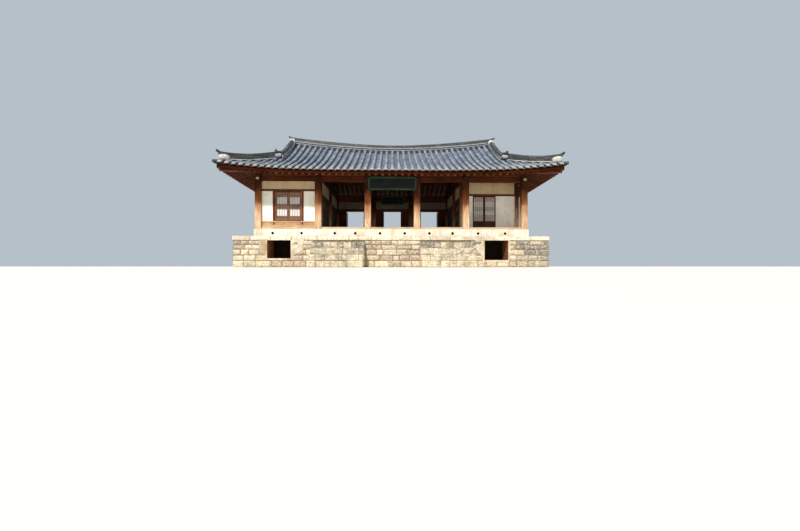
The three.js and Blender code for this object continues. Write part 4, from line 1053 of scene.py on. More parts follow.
def bent_log(kit, points, radius, slot=0, end_slot=0):
    """Round timber through several points."""
    sides = 8
    shade = kit.rng.random()
    rings = []
    points = [Vector(p) for p in points]
    for i, point in enumerate(points):
        axis = (points[min(i + 1, len(points) - 1)] - points[max(i - 1, 0)]).normalized()
        side, up = cross(axis)
        grow = radius * kit.rng.uniform(0.95, 1.04)
        rings += [point + (side * c + up * s) * grow for c, s in circle(sides)]
    for a in range(0, len(rings) - sides, sides):
        kit.add(rings[a:a + 2 * sides], between(2, sides), slot, shade, smooth=True)
    kit.add(rings[:sides], [tuple(reversed(range(sides)))], end_slot, shade)
    kit.add(rings[-sides:], [tuple(range(sides))], slot, shade)


def fan(kit, side, front, root, tip, under):
    """One fanned rafter, from its root at the inner purlin to its tip under the eave, in a corner."""
    points = []
    for t in (0, 0.3, 0.55, 0.8, 1):
        p = Vector(root).lerp(Vector(tip), t)
        points.append((side * p.x, front * p.y, under(p.x, p.y) + RAFTER_LIFT))
    bent_log(kit, points, RAFTER_RADIUS, 2, 2)


def corner_fans(kit, side, front):
    """Fanned rafters of one corner: those of the slope, then those of the end skirt."""
    for i in range(SLOPE_FAN):
        t = (i + 0.5) / SLOPE_FAN
        tip_x = 5.4 + t * 2.3
        tip = (tip_x, eave_y(tip_x) - RAFTER_TIP)
        fan(kit, side, front, (5.3 - 0.25 * t, 1.5 - 0.1 * t), tip, slope_under)
    for i in range(SKIRT_FAN):
        t = (i + 0.5) / SKIRT_FAN
        tip_y = 1.75 + t * 2.27
        tip = (eave_x(tip_y) - RAFTER_TIP, tip_y)
        fan(kit, side, front, (5.25, 1.6 - 0.25 * t), tip, skirt_under)


def rafters():
    kit = Kit(71)
    rng = kit.rng
    for side, slope, skirt in zip((-1, 1), SLOPES, SKIRTS):
        for x in spaced(-STRAIGHT_X, STRAIGHT_X, int(2 * STRAIGHT_X / RAFTER_PITCH)):
            x += rng.uniform(-0.012, 0.012)
            points = []
            for y in spaced(eave_y(x) - RAFTER_TIP, 1.28, 3):
                under = slope_under(x, y) if y > INNER_PURLIN_Y else lower_line(HALF_DEPTH - y)
                points.append(slope.place(x, y, under + RAFTER_LIFT))
            bent_log(kit, points, RAFTER_RADIUS, end_slot=1)
            points = [slope.place(x + 0.09, y, upper_line(y) + UPPER_RAFTER_LIFT) for y in (1.46, 0.02)]
            bent_log(kit, points, UPPER_RAFTER_RADIUS)
        for y in spaced(-STRAIGHT_Y, STRAIGHT_Y, int(2 * STRAIGHT_Y / RAFTER_PITCH)):
            y += rng.uniform(-0.012, 0.012)
            xs = spaced(eave_x(y) - RAFTER_TIP, STRAIGHT_X, 2)
            points = [skirt.place(y, x, skirt_under(x, y) + RAFTER_LIFT) for x in xs]
            bent_log(kit, points, RAFTER_RADIUS, end_slot=1)
        for front in (-1, 1):
            corner_fans(kit, side, front)
    kit.build("rafters", [RAFTER_WOOD, RAFTER_END, SHADED_FAN_WOOD], "timber", replaces=ROOF_NODES)


def eave_boards():
    """Boards along the rafter tips, and the board on them that carries the lowest pans."""
    kit = Kit(81)
    for part in (part for two in zip(SLOPES, SKIRTS) for part in two):
        for a, b in pairs(spaced(0.2 - part.corner, part.corner - 0.2, part.boards)):
            for inner, outer, low, high in ((0.25, 0.2, 0.12, 0.17), (0.21, 0.15, 0.17, 0.215)):
                corners = ((a, outer), (b, outer), (b, inner), (a, inner))
                ring = [(u, part.eave(u) - off) for u, off in corners]
                if not part.turned:
                    ring.reverse()
                kit.hexa([part.place(u, r, part.under(u, r) + low) for u, r in ring],
                         [part.place(u, r, part.under(u, r) + high) for u, r in ring], 0, 0.5)
    # The boards take the near-black eave wood: painted shade under the tiles.
    kit.build("eave_boards", [SHADED_EAVE_WOOD], "timber", replaces=SLOPE_NODES)


def hip_rafters():
    kit = Kit(82)
    across, below, above = 0.1 * math.sqrt(0.5), 0.06, 0.17
    inward = [(CORNER_X - d, CORNER_Y - d) for d in HIP_RAFTER_MARKS]
    points = [(x, y, slope_under(x, y)) for x, y in inward]
    for sx, sy in ((-1, -1), (-1, 1), (1, -1), (1, 1)):
        for (xa, ya, za), (xb, yb, zb) in pairs(points):
            ring = [(xa - across, ya + across, za), (xb - across, yb + across, zb),
                    (xb + across, yb - across, zb), (xa + across, ya - across, za)]
            if sx * sy > 0:
                ring.reverse()
            kit.hexa([(sx * x, sy * y, z - below) for x, y, z in ring],
                     [(sx * x, sy * y, z + above) for x, y, z in ring], 0, 0.4)
    kit.build("hip_rafters", [TIMBER_X], "timber", replaces=SLOPE_NODES)


def ridge_run(kit, plan, half, base, crest, fixed, courses, cap=0.07):
    """Ridge of thin tile courses in mortar, with cover tiles on top.

    fixed lists the lowest layers as (slot, height, overhang); courses fill the rest up to the cap.
    """
    last = len(plan) - 1
    normals, marks = [], []
    for i, p in enumerate(plan):
        axis = (plan[min(i + 1, last)] - plan[max(i - 1, 0)]).normalized()
        normals.append(Vector((-axis.y, axis.x)))
        levels = [base(p.x, p.y)]
        for _, height, _ in fixed:
            levels.append(levels[-1] + height)
        marks.append(levels[:-1] + spaced(levels[-1], crest(i) - cap, courses))
    layers = [(slot, overhang) for slot, _, overhang in fixed]
    layers += [(0, 0.004 * (-1) ** k) for k in range(courses)]

    def ring(i, width, level, rise, slip=0.0):
        p, n, q, m = plan[i], normals[i], plan[i + 1], normals[i + 1]
        trim = (q - p) * slip
        z0, z1 = marks[i][level] + rise, marks[i + 1][level] + rise
        corners = ((p - n * width, trim, z0), (q - m * width, -trim, z1),
                   (q + m * width, -trim, z1), (p + n * width, trim, z0))
        return [(c.x + t.x, c.y + t.y, z) for c, t, z in corners]

    for i, (p, q) in enumerate(pairs(plan)):
        core = half - 0.016
        kit.hexa(ring(i, core, 0, -0.2), ring(i, core, -1, 0.01), 1, 0.4)
        for k, (slot, overhang) in enumerate(layers):
            jut = half + overhang + kit.rng.uniform(-0.004, 0.004)
            seam, slip = (0.007, 0.012) if slot == 0 else (0.0, 0.0)
            kit.hexa(ring(i, jut, k, 0.0, slip), ring(i, jut, k + 1, -seam, slip), slot)
        low, high = Vector((p.x, p.y, crest(i))), Vector((q.x, q.y, crest(i + 1)))
        half_tube(kit, low, high + (high - low) * 0.03, (high - low).normalized(), half * 0.66, half * 0.6)


def lump(kit, centre, radii, slot=3, turn=0.0):
    """Hand-shaped lump of lime mortar, squarer than an ellipsoid."""
    centre = Vector(centre)
    rings, around = 7, 12
    verts = []
    for r in range(1, rings):
        polar = math.pi * r / rings
        for c, s in circle(around):
            d = Vector((math.sin(polar) * c, math.sin(polar) * s, math.cos(polar)))
            d = Vector([math.copysign(abs(v) ** 0.7, v) for v in d])
            local = Vector((d.x * radii[0], d.y * radii[1], d.z * radii[2])) * kit.rng.uniform(0.95, 1.05)
            verts.append(centre + Vector((local.x * math.cos(turn) - local.y * math.sin(turn),
                                          local.x * math.sin(turn) + local.y * math.cos(turn), local.z)))
    last = (rings - 2) * around
    faces = [*between(rings - 1, around), tuple(reversed(range(around))), tuple(range(last, last + around))]
    kit.add(verts, [tuple(reversed(f)) for f in faces], slot, 0.5, smooth=True)


def tip_tile(kit, start, run, radius):
    """Cover tile that sticks out over the end of a ridge and turns up."""
    middle = start + run * 0.5 - Vector((0, 0, 0.012))
    straight_tube(kit, start, middle, radius, radius * 0.96, 1)
    straight_tube(kit, middle, start + run, radius * 0.96, radius * 0.7, 1)


def end_tile(kit, centre, out, width, height):
    """Plain upturned end tile."""
    out = Vector(out).normalized()
    side = Vector((-out.y, out.x, 0))
    up = (Vector((0, 0, 1)) + out * 0.2).normalized()
    centre = Vector(centre)
    sides = 12
    rings = []
    for depth, scale in ((-0.03, 1.0), (0.0, 1.0), (0.006, 0.82), (0.0, 0.76)):
        for px, pz in circle(sides):
            if pz < 0:
                px, pz = max(-1, min(1, px * 1.25)), pz * 0.7
            level = centre + out * depth + side * px * width / 2 * scale
            rings.append(level + up * pz * height / 2 * scale)
    faces = [*between(4, sides), tuple(range(3 * sides, 4 * sides)), tuple(reversed(range(sides)))]
    kit.add(rings, faces, 0, 0.6)


def main_ridge(looks):
    kit = Kit(91)
    xs = spaced(-VERGE_X + 0.01, VERGE_X - 0.01, 42)

    def crest(i):
        return MAIN_RIDGE_TOP + MAIN_RIDGE_TIP_RISE * abs(xs[i] / VERGE_X) ** RIDGE_SHARPNESS

    ridge_run(kit, [Vector((x, 0)) for x in xs], 0.15, lambda x, y: slope_top(x, 0.13), crest,
              [(2, 0.03, 0.0), (1, 0.06, -0.014), (2, 0.045, 0.006)], 3, 0.06)
    lump_x, tile_x, tip_x = 5.66, 5.74, 5.6
    for side in (-1, 1):
        lump(kit, (side * lump_x, 0, 6.98), (0.085, 0.16, 0.19))
        lump(kit, (side * lump_x, 0, 7.17), (0.08, 0.14, 0.11))
        end_tile(kit, (side * tile_x, 0, 7.28), (side, 0, 0), 0.24, 0.2)
        tip_tile(kit, Vector((side * tip_x, 0, 7.34)), Vector((side * 0.24, 0, 0.085)), 0.06)
    kit.build("main_ridge_tiles", looks, "ridge_tile", replaces=["main_ridge"])


def falling_ridge(kit, sx, sy):
    """Ridge down the verge, with lumps of mortar at its head and foot."""
    x = FALLING_RIDGE_X
    ys = spaced(0.16, FALLING_FOOT, 9)
    # The recessed lowest layer in the dark ridge mortar is painted shadow under the pale band.
    layers = [(1, 0.04, -0.012), (3, 0.065, 0.006), (0, 0.03, 0.014), (2, 0.03, 0.0)]
    ridge_run(kit, [Vector((sx * x, sy * y)) for y in ys], 0.115, slope_top,
              lambda i: slope_top(x, ys[i]) + 0.31 - 0.06 * max(0, 1 - ys[i] / 1.1) ** 2, layers, 2)
    lump(kit, (sx * (x - 0.02), sy * 0.23, slope_top(x, 0.2) + 0.1), (0.15, 0.1, 0.17))
    foot = slope_top(x, FALLING_FOOT)
    lump(kit, (sx * (x + 0.1), sy * (FALLING_FOOT - 0.04), foot + 0.15), (0.17, 0.12, 0.11), 2)
    lump(kit, (sx * (x + 0.12), sy * (FALLING_FOOT - 0.02), foot + 0.29), (0.15, 0.13, 0.075), 1)
    end_tile(kit, (sx * (x + 0.2), sy * (FALLING_FOOT + 0.07), foot + 0.32), (sx, sy, 0), 0.24, 0.22)


def hip_ridge(kit, sx, sy):
    """Ridge out to the corner, with its upturned tip."""

    def spot(d, z):
        return Vector((sx * (CORNER_X - d), sy * (CORNER_Y - d), z))

    def top(d):
        return slope_top(CORNER_X - d, CORNER_Y - d)

    ds = spaced(2.36, HIP_TIP, 8)
    crests = [top(d) + 0.285 + 0.1 * max(0, 1 - d / 1.6) ** 2 for d in ds]
    ridge_run(kit, [spot(d, 0).xy for d in ds], 0.1,
              lambda x, y: min(slope_top(x, y), skirt_top(x, y)) - 0.01, lambda i: crests[i],
              [(3, 0.034, 0.004)], 5)
    out = Vector((sx, sy, 0)).normalized()
    d = HIP_TIP + 0.14
    lump(kit, spot(d, top(d) + 0.09), (0.24, 0.15, 0.15), 3, math.atan2(out.y, out.x))
    tip = spot(HIP_TIP - 0.015, crests[-1])
    end_tile(kit, (tip.x, tip.y, crests[-1] - 0.1), out, 0.19, 0.19)
    tip_tile(kit, tip - out * 0.1, out * 0.2 + Vector((0, 0, 0.075)), 0.07)
    # Cover tile that closes the corner under the ridge
    low, high = spot(0.035, top(0.03) - 0.03), spot(0.33, top(0.33) - 0.02)
    straight_tube(kit, low, high, COVER_RADIUS + 0.01, COVER_RADIUS + 0.01)


def ridges():
    looks = [RIDGE_TILE, RIDGE_MORTAR_AND_SHADOW, BAND_MORTAR, PALE_MORTAR]
    main_ridge(looks)
    for end, sy in (("front", -1), ("back", 1)):
        for hand, sx in (("right", 1), ("left", -1)):
            kit = Kit(92 + sx + 2 * sy)
            falling_ridge(kit, sx, sy)
            hip_ridge(kit, sx, sy)
            kit.build(f"{end}_{hand}_ridge_tiles", looks, "ridge_tile", replaces=[f"{end}_{hand}_ridge"])


def verge_tiles(kit, side):
    """Tiles laid across the verge, with their mortar plugs."""
    for sy in (-1, 1):
        for y in spaced(0.25, 1.62, 6):
            z = slope_top(5.7, y) - 0.012
            low, high = Vector((side * 5.722, sy * y, z)), Vector((side * 5.56, sy * y, z + 0.005))
            straight_tube(kit, low, high, VERGE_TILE_RADIUS, 0.066, 3)
            axis = (high - low).normalized()
            across, up = cross(axis)
            heart = low - up * VERGE_TILE_RADIUS
            ring = [heart + axis * 0.004 + across * c * 0.062 + up * s * 0.062 for c, s in circle(10)]
            kit.add(ring, [tuple(range(10))], 4, 0.5)


def gables():
    for name, side in (("left", -1), ("right", 1)):
        kit = Kit(101 + side)

        def upright(x0, x1, y0, y1, bottom, tops, slot, tone=None):
            """Board across x0 to x1 and y0 to y1. tops gives its height at y0 and at y1."""
            ring = [(x0, y0, tops[0]), (x1, y0, tops[0]), (x1, y1, tops[1]), (x0, y1, tops[1])]
            ring = [(side * x, y, z) for x, y, z in ring][::side]
            kit.hexa([(x, y, bottom(y)) for x, y, _ in ring], ring, slot, tone)

        # The soffit's slot 1 is the near-black eave wood: painted shade under the verge.
        # Near and far x, drop of the top and of the foot from the tile line, slot
        soffit, verge_board = (GABLE_X - 0.02, 5.715, 0.21, 0.25, 1), (5.665, 5.71, 0.15, 0.37, 0)
        for y0, y1 in pairs(spaced(-1.66, 1.66, 16)):
            for xa, xb, high, low, slot in (soffit, verge_board):
                upright(xa, xb, y0, y1, lambda y: max(slope_top(xb, y) - low, skirt_top(xb, y) + 0.012),
                        [slope_top(xb, y) - high for y in (y0, y1)], slot, 0.45)
        for a, b in pairs(spaced(-1.2, 1.2, 14)):
            foot = skirt_top(GABLE_X + 0.03, (a + b) / 2) - 0.05
            face = GABLE_X + 0.045 + kit.rng.uniform(-0.003, 0.003)
            upright(GABLE_X + 0.012, face, a + 0.003, b - 0.003, lambda y: foot,
                    [slope_top(GABLE_X, y) - 0.22 for y in (a, b)], 2)
        (near, far), half, (low, high) = BATTEN_X, BATTEN_HALF, BATTEN_Z
        kit.box(side * near, side * far, -half, half, low, high, 0, 0.4)
        verge_tiles(kit, side)
        kit.build(f"{name}_gable_boards", [TIMBER_Y, SHADED_EAVE_WOOD, TIMBER_Z, TILE, PALE_MORTAR], "timber",
                  replaces=[f"{name}_gable"])


# Walls


def bar_heights(low, high, shares, pitch):
    """Heights of level bars in dense groups. shares gives each group's start and end on the way up."""
    heights = []
    for start, end in shares:
        first, last = low + (high - low) * start, low + (high - low) * end
        heights += spaced(first, last, max(2, round((last - first) / pitch)))
    return [z for z in heights if low + 0.01 < z < high - 0.01]


def lattice(kit, along, fixed, face, u0, u1, z0, z1, wood, sheet, width, thick):
    """Framed paper screen with slender bars. face is +1 or -1: the side of fixed on which the bars lie."""

    def bar(a, b, c, d, low, high, slot=wood, tone=None):
        y0, y1 = fixed + face * low, fixed + face * high
        kit.box(*((a, b, y0, y1) if along == "x" else (y0, y1, a, b)), c, d, slot, tone)

    for member in frame_members(u0, u1, z0, z1, width):
        bar(*member, -0.002, thick)
    a, b, c, d = u0 + width, u1 - width, z0 + width, z1 - width
    bar(a, b, c, d, 0.0, 0.004, sheet, 0.5)
    for u in spaced(a, b, 4)[1:-1]:
        bar(u - 0.004, u + 0.004, c, d, 0.004, 0.02)
    for z in bar_heights(c, d, LATTICE_SHARES, 0.028):
        bar(a, b, z - 0.0075, z + 0.0075, 0.008, 0.024)


def left_room_front():
    y = -HALF_DEPTH
    x0, x1 = -END_X + SIDE, -HALL_X - SIDE
    (a, b), sill, head = WINDOW_X, WINDOW_SILL, LINTEL_BOTTOM
    rail, post, stud = sill - 0.06, 0.08, 0.07
    plaster_kit = Kit(111)
    # Slot 1, the panel above the lintel, takes the dark high plaster: painted shade under the eaves.
    plaster_kit.slabs("x", y, [
        (x0, x1, PLASTER_THICK, LINTEL_TOP, WALL_HIGH, 1), (x0, a - post, PLASTER_THICK, sill, head, 0),
        (b + post, x1, PLASTER_THICK, sill, head, 0)])
    plaster_kit.build("left_room_plaster", [WALL_PLASTER, SHADED_HIGH_PLASTER], "lime_plaster",
                      replaces=["left_room_front_wall"])
    rails = Kit(112)
    rails.slabs("x", y, [
        (x0, x1, RAIL_THICK, WALL_LOW, SILL_TOP, 2), (x0, x1, RAIL_THICK, rail, sill, 2),
        (x0, x1, RAIL_THICK, head, LINTEL_TOP, 0), (a - post, a, RAIL_THICK, sill, head, 1),
        (b, b + post, RAIL_THICK, sill, head, 1)])
    for u in (a - 0.06, b - 0.02):
        rails.slab("x", u, u + stud, y, RAIL_THICK - 0.012, SILL_TOP, rail, 1)
    rails.slab("x", x0, x1, y, PLASTER_THICK, SILL_TOP, rail, 2)
    rails.build("left_room_rails", [LINTEL_WOOD, TIMBER_Z, SILL_WOOD], "timber",
                replaces=["left_room_front_wall"], bevel=0.006)


def left_room_window():
    y = -HALF_DEPTH
    (a, b), sill, head = WINDOW_X, WINDOW_SILL, LINTEL_BOTTOM
    window = Kit(113)
    width = 0.055
    for (u0, u1, z0, z1), slot in zip(frame_members(a, b, sill, head, width), (2, 2, 0, 0)):
        window.slab("x", u0 + 0.0005, u1 - 0.0005, y, 0.09, z0 + 0.0005, z1 - 0.0005, slot)
    middle = (a + b) / 2
    for u0, u1 in ((a + width, middle - 0.002), (middle + 0.002, b - width)):
        for face, fixed in ((-1, y), (1, y + 0.004)):
            lattice(window, "x", fixed, face, u0, u1, sill + width, head - width, 2, 1, 0.062, 0.036)
    window.build("left_room_window_lattice", [LINTEL_WOOD, PAPER, WINDOW_WOOD], "timber",
                 replaces=["left_room_window"])


def stub(kit, start, end, r0, r1, sides):
    """Short round bar of iron."""
    start, end = Vector(start), Vector(end)
    side, up = cross((end - start).normalized())
    shade = kit.rng.random()
    rings = [p + side * c * r + up * s * r for p, r in ((start, r0), (end, r1)) for c, s in circle(sides)]
    kit.add(rings, between(2, sides), 3, shade, smooth=True)
    kit.add(rings[:sides], [tuple(reversed(range(sides)))], 3, shade)
    kit.add(rings[sides:], [tuple(range(sides))], 3, shade)


def pull_ring(kit, x, face, z):
    """Iron rosette with a ring that hangs flat on the stile."""
    stub(kit, (x, face, z), (x, face - 0.004, z), 0.021, 0.017, 10)
    stub(kit, (x, face - 0.004, z), (x, face - 0.011, z), 0.006, 0.006, 6)
    around, across, radius, wire = 14, 5, 0.032, 0.0035
    verts = []
    for turn_cos, turn_sin in circle(around):
        for c, s in circle(across):
            reach = radius + wire * c
            verts.append((x + reach * turn_sin, face - 0.0085 + wire * s, z - radius + reach * turn_cos))
    faces = []
    for row in range(0, around * across, across):
        ahead = (row + across) % (around * across)
        for j in range(across):
            k = (j + 1) % across
            faces.append((row + j, ahead + j, ahead + k, row + k))
    kit.add(verts, faces, 3, 0.5, smooth=True)


def door_leaves():
    """Paper, lattice and pull rings of the double door, on the leaves themselves."""
    face, inside = DOOR_FACE, DOOR_FACE + 0.0403
    z0, z1 = DOOR_Z[0] + DOOR_STILE, DOOR_Z[1] - DOOR_STILE
    middle = sum(DOOR_X) / 2
    meeting = 0.004 + DOOR_STILE
    for name, a, b in (("left", DOOR_X[0] + DOOR_STILE, middle - meeting),
                       ("right", middle + meeting, DOOR_X[1] - DOOR_STILE)):
        kit = Kit(121)
        kit.box(a + 0.0005, b - 0.0005, face + 0.0105, face + 0.0138, z0 + 0.0005, z1 - 0.0005, 1, 0.5)
        for x in spaced(a, b, 5)[1:-1]:
            kit.box(x - 0.006, x + 0.006, face - 0.0005, face + 0.0105, z0, z1)
        for z in bar_heights(z0, z1, DOOR_SHARES, 0.05):
            kit.box(a, b, face - 0.003, face + 0.008, z - 0.0055, z + 0.0055)
        for c, d in pairs(spaced(a, b, 3)):
            kit.box(c + 0.004, d - 0.004, face + 0.004, face + 0.0095, DOOR_PANEL_LOW, DOOR_PANEL_HIGH, 2)
        kit.box(a - 0.025, b + 0.025, inside, inside + 0.003, z0 - 0.025, z1 + 0.025, 1, 0.5)
        pull_ring(kit, b + 0.0275 if name == "left" else a - 0.0275, face, PULL_Z)
        looks = [TIMBER_Z, PAPER, INNER_POST_WOOD, IRON]
        kit.build(f"{name}_door_lattice", looks, "timber", body=f"{name}_leaf")
    finish_nodes(TIMBER_Z, "left_door_leaf", "right_door_leaf")


def over_door():
    """Plaster and rail over the door, up to the rafters and down along the hip."""
    kit = Kit(122)
    x0, x1 = HALL_X + 0.1403, END_X - 0.123
    y0, y1 = RECESS_Y - PLASTER_THICK / 2, RECESS_Y + PLASTER_THICK / 2
    reach = HALF_DEPTH + y0
    level, low = lower_line(reach) - PANEL_DROP, lower_line(END_X - x1) - PANEL_DROP
    hip = END_X - reach
    # The panel takes the dark high plaster: painted shade under the eaves.
    for a, b, za, zb in ((x0, hip, level, level), (hip, x1, level, low)):
        ring = [(a, y0, za), (b, y0, zb), (b, y1, zb), (a, y1, za)]
        kit.hexa([(x, y, LINTEL_TOP) for x, y, _ in ring], ring, 0, 0.5)
    kit.slab("x", x0, x1, RECESS_Y, RAIL_THICK, LINTEL_BOTTOM, LINTEL_TOP, 1)
    kit.build("over_door_panel", [SHADED_HIGH_PLASTER, LINTEL_WOOD], "lime_plaster", replaces=["wall_over_door"])
    finish_nodes(WALL_PLASTER, "wall_left_of_door", "wall_right_of_door")


def wall_bays(side):
    """Spans of a wall along y between its columns. On the right it starts at the recess post."""
    start = -HALF_DEPTH + SIDE if side < 0 else RECESS_Y + 0.1 + SLIT
    return [(start, -SIDE), (SIDE, HALF_DEPTH - SIDE)]


def end_walls():
    rail = LINTEL_BOTTOM - 0.12
    for name, side in (("left_end_wall", -1), ("right_end_wall", 1)):
        kit = Kit(131)
        for y0, y1 in wall_bays(side):
            middle = (y0 + y1) / 2
            kit.slabs("y", side * END_X, [
                (y0, y1, PLASTER_THICK, SILL_TOP, rail, 0),
                (y0, y1, PLASTER_THICK, LINTEL_BOTTOM, WALL_HIGH, 0),
                (y0, y1, RAIL_THICK, WALL_LOW, SILL_TOP, 1),
                (y0, y1, RAIL_THICK, rail, LINTEL_BOTTOM, 1),
                (middle - 0.05, middle + 0.05, RAIL_THICK - 0.02, SILL_TOP, rail, 2)])
        kit.build(f"{name}_panels", [WALL_PLASTER, TIMBER_Y, TIMBER_Z], "lime_plaster", replaces=[name])


def screen(kit, x, a, b, head):
    """Leaf of a folding screen from a to b: lattice on both faces over a low panel."""
    sill, panel_top = SILL_TOP + 0.05, SILL_TOP + 0.32
    stile, thick = 0.045, 0.056
    for face in (-1, 1):
        lattice(kit, "y", x + face * SCREEN_GAP, face, a, b, panel_top, head, 2, 3, stile, 0.026)
    kit.slabs("y", x, [
        (a, b, thick, SILL_TOP, sill, 2), (a + stile, b - stile, 0.03, sill, panel_top, 2),
        (a, a + stile, thick, sill, panel_top, 2), (b - stile, b, thick, sill, panel_top, 2)])


def partitions():
    """Rails, plaster and folding screens between the hall and the rooms."""
    rail = LINTEL_BOTTOM - 0.12
    for name, side in (("left_partition", -1), ("right_partition", 1)):
        kit = Kit(141)
        x = side * HALL_X
        for y0, y1 in wall_bays(side):
            kit.slabs("y", x, [
                (y0, y1, RAIL_THICK, WALL_LOW, SILL_TOP, 1), (y0, y1, RAIL_THICK, rail, LINTEL_BOTTOM, 1),
                (y0, y1, PLASTER_THICK, LINTEL_BOTTOM, TIE_BOTTOM, 0),
                (y0, y1 - 0.06, PLASTER_THICK, TIE_BOTTOM, PARTITION_TOP, 0)])
            for a, b in pairs(spaced(y0, y1, max(2, round((y1 - y0) / 0.62)))):
                screen(kit, x, a + SCREEN_GAP, b - SCREEN_GAP, rail)
        kit.build(f"{name}_screens", [SHADED_PARTITION_PLASTER, INNER_WOOD, INNER_POST_WOOD, SHADED_SCREEN_PAPER], "timber",
                  replaces=[name])


def frame_infill():
    """Plaster on both faces of the infill in the roof frames over the partitions."""
    kit = Kit(145)
    half, foot = 2.56, 4.65
    lines = (lower_line(HALF_DEPTH - half), RAFTER_AT_INNER, upper_line(0))
    eave, inner, peak = [z - PANEL_DROP for z in lines]
    outline = [(-half, foot), (half, foot), (half, eave), (INNER_PURLIN_Y, inner), (0, peak),
               (-INNER_PURLIN_Y, inner), (-half, eave)]
    for x in (-HALL_X, HALL_X):
        for face in (-1, 1):
            near, far = [x + face * (PLASTER_THICK / 2 + out) for out in (-0.001, 0.004)]
            ring = outline[::face]
            kit.plate([(far, y, z) for y, z in ring], [(near, y, z) for y, z in ring])
    # The infill takes the dark inner plaster: painted shade inside the hall.
    kit.build("roof_frame_plaster", [SHADED_INNER_PLASTER], "lime_plaster")


def shutter(kit, edge, side):
    """Board shutter that stands open behind the back wall, with its hinges. side is -1 or 1 along x."""
    wall = HALF_DEPTH + RAIL_THICK / 2
    far = edge + side * 0.035
    y0, y1, z0, z1 = wall + 0.005, wall + 0.555, SHUTTER_LOW + 0.005, SHUTTER_HIGH - 0.005
    rail, middle = 0.06, z0 + 0.6
    for y in (y0, y1 - rail):
        kit.box(edge, far, y, y + rail, z0, z1, 2)
    for z in (z0, middle, z1 - rail):
        kit.box(edge, far, y0 + rail, y1 - rail, z, z + rail, 1)
    for c, d in ((z0 + rail, middle), (middle + rail, z1 - rail)):
        kit.box(edge + side * 0.012, far - side * 0.012, y0 + rail, y1 - rail, c, d, 2)
    for z in (SHUTTER_LOW + 0.12, SHUTTER_HIGH - 0.18):
        kit.box(edge, far, wall - 0.02, wall + 0.02, z, z + 0.06, 3)


def shutter_bay(kit, x0, x1, centre):
    """Open pair of shutters, the posts and sill round the opening, and the boards beside and below it."""
    y, low, high = HALF_DEPTH, SHUTTER_LOW, SHUTTER_HIGH
    a, b, post, sill = centre - 0.55, centre + 0.55, 0.08, low - 0.09
    kit.slabs("x", y, [
        (a - post, b + post, RAIL_THICK, sill, low, 1), (a - post, a, RAIL_THICK, low, high, 2),
        (b, b + post, RAIL_THICK, low, high, 2)])
    for u0, u1, v1 in ((x0, a - post, high), (b + post, x1, high), (a - post, b + post, sill)):
        kit.slab("x", u0, u1, y, 0.02, SILL_TOP, v1, 2)
        for c, d in pairs(spaced(u0, u1, max(1, round((u1 - u0) / 0.16)))):
            thick = 0.05 + kit.rng.uniform(-0.004, 0.004)
            kit.slab("x", c + 0.0015, d - 0.0015, y, thick, SILL_TOP, v1, 2)
    shutter(kit, a - 0.005, -1)
    shutter(kit, b + 0.005, 1)


def back_walls():
    kit = Kit(151)
    y, high, top = HALF_DEPTH, SHUTTER_HIGH, SHUTTER_RAIL_TOP
    for bay, (xa, xb) in enumerate(pairs(COLUMN_LINES)):
        x0, x1 = xa + SIDE, xb - SIDE
        centre = (x0 + x1) / 2
        # Slot 4, the dark inner plaster, is painted shade inside the hall; a thin coat of wall plaster
        # covers its outer face.
        kit.slabs("x", y, [
            (x0, x1, RAIL_THICK, WALL_LOW, SILL_TOP, 1), (x0, x1, RAIL_THICK, high, top, 1),
            (x0, x1, PLASTER_THICK, top, WALL_HIGH, 4)])
        coat = y + PLASTER_THICK / 2
        kit.slab("x", x0, x1, coat, 0.008, top, WALL_HIGH)
        if bay in (0, 4):
            kit.slab("x", x0, x1, y, PLASTER_THICK, SILL_TOP, high, 4)
            kit.slab("x", x0, x1, coat, 0.008, SILL_TOP, high)
            kit.slab("x", centre - 0.05, centre + 0.05, y, RAIL_THICK - 0.02, SILL_TOP, high, 2)
        else:
            shutter_bay(kit, x0, x1, centre)
    kit.build("back_wall_boards", [WALL_PLASTER, TIMBER_X, TIMBER_Z, IRON, SHADED_INNER_PLASTER], "timber",
              replaces=["back_wall"])


def name_boards():
    """Green frames round the two bare boards, on the boards' own lean."""
    border, over = 0.075, 0.008
    for name, width, height in (("outer_name_board", 2.31, 0.62), ("inner_name_board", 1.48, 0.56)):
        finish_nodes(BOARD_FIELD, name)
        middle = sum(corner.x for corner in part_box(name)) / 2
        kit = Kit(171)
        place = on_board(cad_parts[name].data)
        w, h = width / 2, height / 2
        for x0, x1, v0, v1 in ((-w, w, h - border, h + over), (-w, w, -h - over, -h + border),
                               (-w - over, -w + border, -h, h), (w - border, w + over, -h, h)):
            kit.hexa(*[[place(middle + x, v, out) for x, v in ((x0, v0), (x1, v0), (x1, v1), (x0, v1))]
                       for out in (0.004, -0.022)])
        kit.build(f"{name}_frame", [BOARD_FRAME], "dark_board", bevel=0.006)


def on_board(mesh):
    """Maps (x, height on the board, depth) onto the front face of a leaning board's own mesh."""
    face = max((p for p in mesh.polygons if p.normal.y < -0.9), key=lambda p: p.area)
    normal = face.normal.copy()
    origin = mesh.vertices[face.vertices[0]].co
    up = Vector((0, -normal.z, normal.y))
    up = up if up.z > 0 else -up
    levels = [(v.co - origin).dot(up) for v in mesh.vertices if abs((v.co - origin).dot(normal)) < 1e-4]
    centre = origin + up * (min(levels) + max(levels)) / 2

    def place(x, v, depth):
        spot = Vector((0, centre.y, centre.z)) + up * v - normal * depth
        return (x, spot.y, spot.z)

    return place


def beam_ends():
    """Whitened ends of the side tie beams, which show in front of the corner columns."""
    kit = Kit(181)
    half, low, high = 0.075, 4.23, 4.33
    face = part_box("tie_beams")[1].y
    for x in (-END_X, END_X):
        for side in (-1, 1):
            kit.box(x - half, x + half, side * (face + SLIT), side * (face + 0.006), low, high)
    kit.build("tie_beam_ends", [WHITENED_END], "timber")


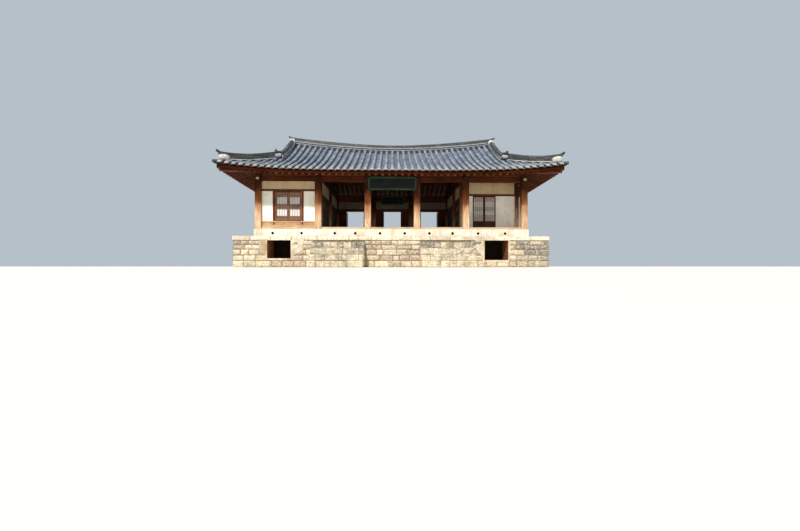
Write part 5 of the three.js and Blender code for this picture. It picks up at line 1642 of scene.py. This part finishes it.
def plain_nodes():
    """Finishes of the CAD nodes that show as they are."""
    finish_nodes(COLUMN_WOOD, *[f"{row}_column_{i}" for row in ("front", "back") for i in range(1, 7)],
                 *[f"middle_column_{i}" for i in range(1, 5)], "recess_post_1", "recess_post_2")
    finish_nodes(TIMBER_X, "tie_beams", "eave_purlins", "ridge_purlin", "front_inner_purlin",
                 "back_inner_purlin")
    finish_nodes(INNER_WOOD, *[f"roof_frame_{i}" for i in range(1, 5)])
    finish_nodes(EARTH, "stone_platform")


# Studio

FLOOR_SIZE = 400
SUN_ENERGY = 6.5
SUN_COLOUR = (1.0, 0.95, 0.87)
SUN_DIRECTION = Vector((0.34, 1.0, -1.06))
SKY_COLOUR = (0.8, 0.91, 1.0, 1)
SKY_STRENGTH = 0.82
CAMERA_PLACE = (-0.013, -20.08, 0.03)
CAMERA_TILT, CAMERA_TURN = 90.17, -1.28


def studio_floor():
    bpy.ops.mesh.primitive_plane_add(size=FLOOR_SIZE, location=(0, 0, -0.004))
    floor = bpy.context.object
    floor.name = "studio_floor"
    look = Look("studio_floor", 0.95)
    sand = look.ramp(look.noise(0.6, 2), (0.3, (0.78, 0.73, 0.64)), (0.7, (0.82, 0.77, 0.68)))
    floor.data.materials.append(look.paint(sand))


def studio():
    """Sun from the upper left behind the viewer, a pale sky, and the camera fitted to the photo."""
    scene = bpy.context.scene
    sun = bpy.data.objects.new("key", bpy.data.lights.new("key", "SUN"))
    sun.data.energy = SUN_ENERGY
    sun.data.angle = math.radians(5)
    sun.data.color = SUN_COLOUR
    sun.rotation_euler = SUN_DIRECTION.to_track_quat("-Z", "Y").to_euler()
    scene.collection.objects.link(sun)
    scene.view_settings.view_transform = "Standard"
    scene.view_settings.exposure = -0.5
    world = bpy.data.worlds.new("studio")
    world.use_nodes = True
    background = world.node_tree.nodes["Background"]
    background.inputs["Color"].default_value = SKY_COLOUR
    background.inputs["Strength"].default_value = SKY_STRENGTH
    scene.world = world
    camera = bpy.data.objects.new("camera", bpy.data.cameras.new("camera"))
    camera.data.sensor_width = 36
    camera.data.lens = 15.87
    camera.data.clip_start, camera.data.clip_end = 0.01, 500
    camera.location = CAMERA_PLACE
    camera.rotation_euler = (math.radians(CAMERA_TILT), 0, math.radians(CAMERA_TURN))
    scene.collection.objects.link(camera)
    scene.camera = camera


platform_stones()
edge_slabs()
fire_hole_surrounds()
stairs()
underfloor_band()
floors()
roof_tiles()
roof_deck()
rafters()
eave_boards()
hip_rafters()
ridges()
gables()
left_room_front()
left_room_window()
door_leaves()
over_door()
end_walls()
partitions()
frame_infill()
back_walls()
name_boards()
beam_ends()
plain_nodes()
studio_floor()
studio()
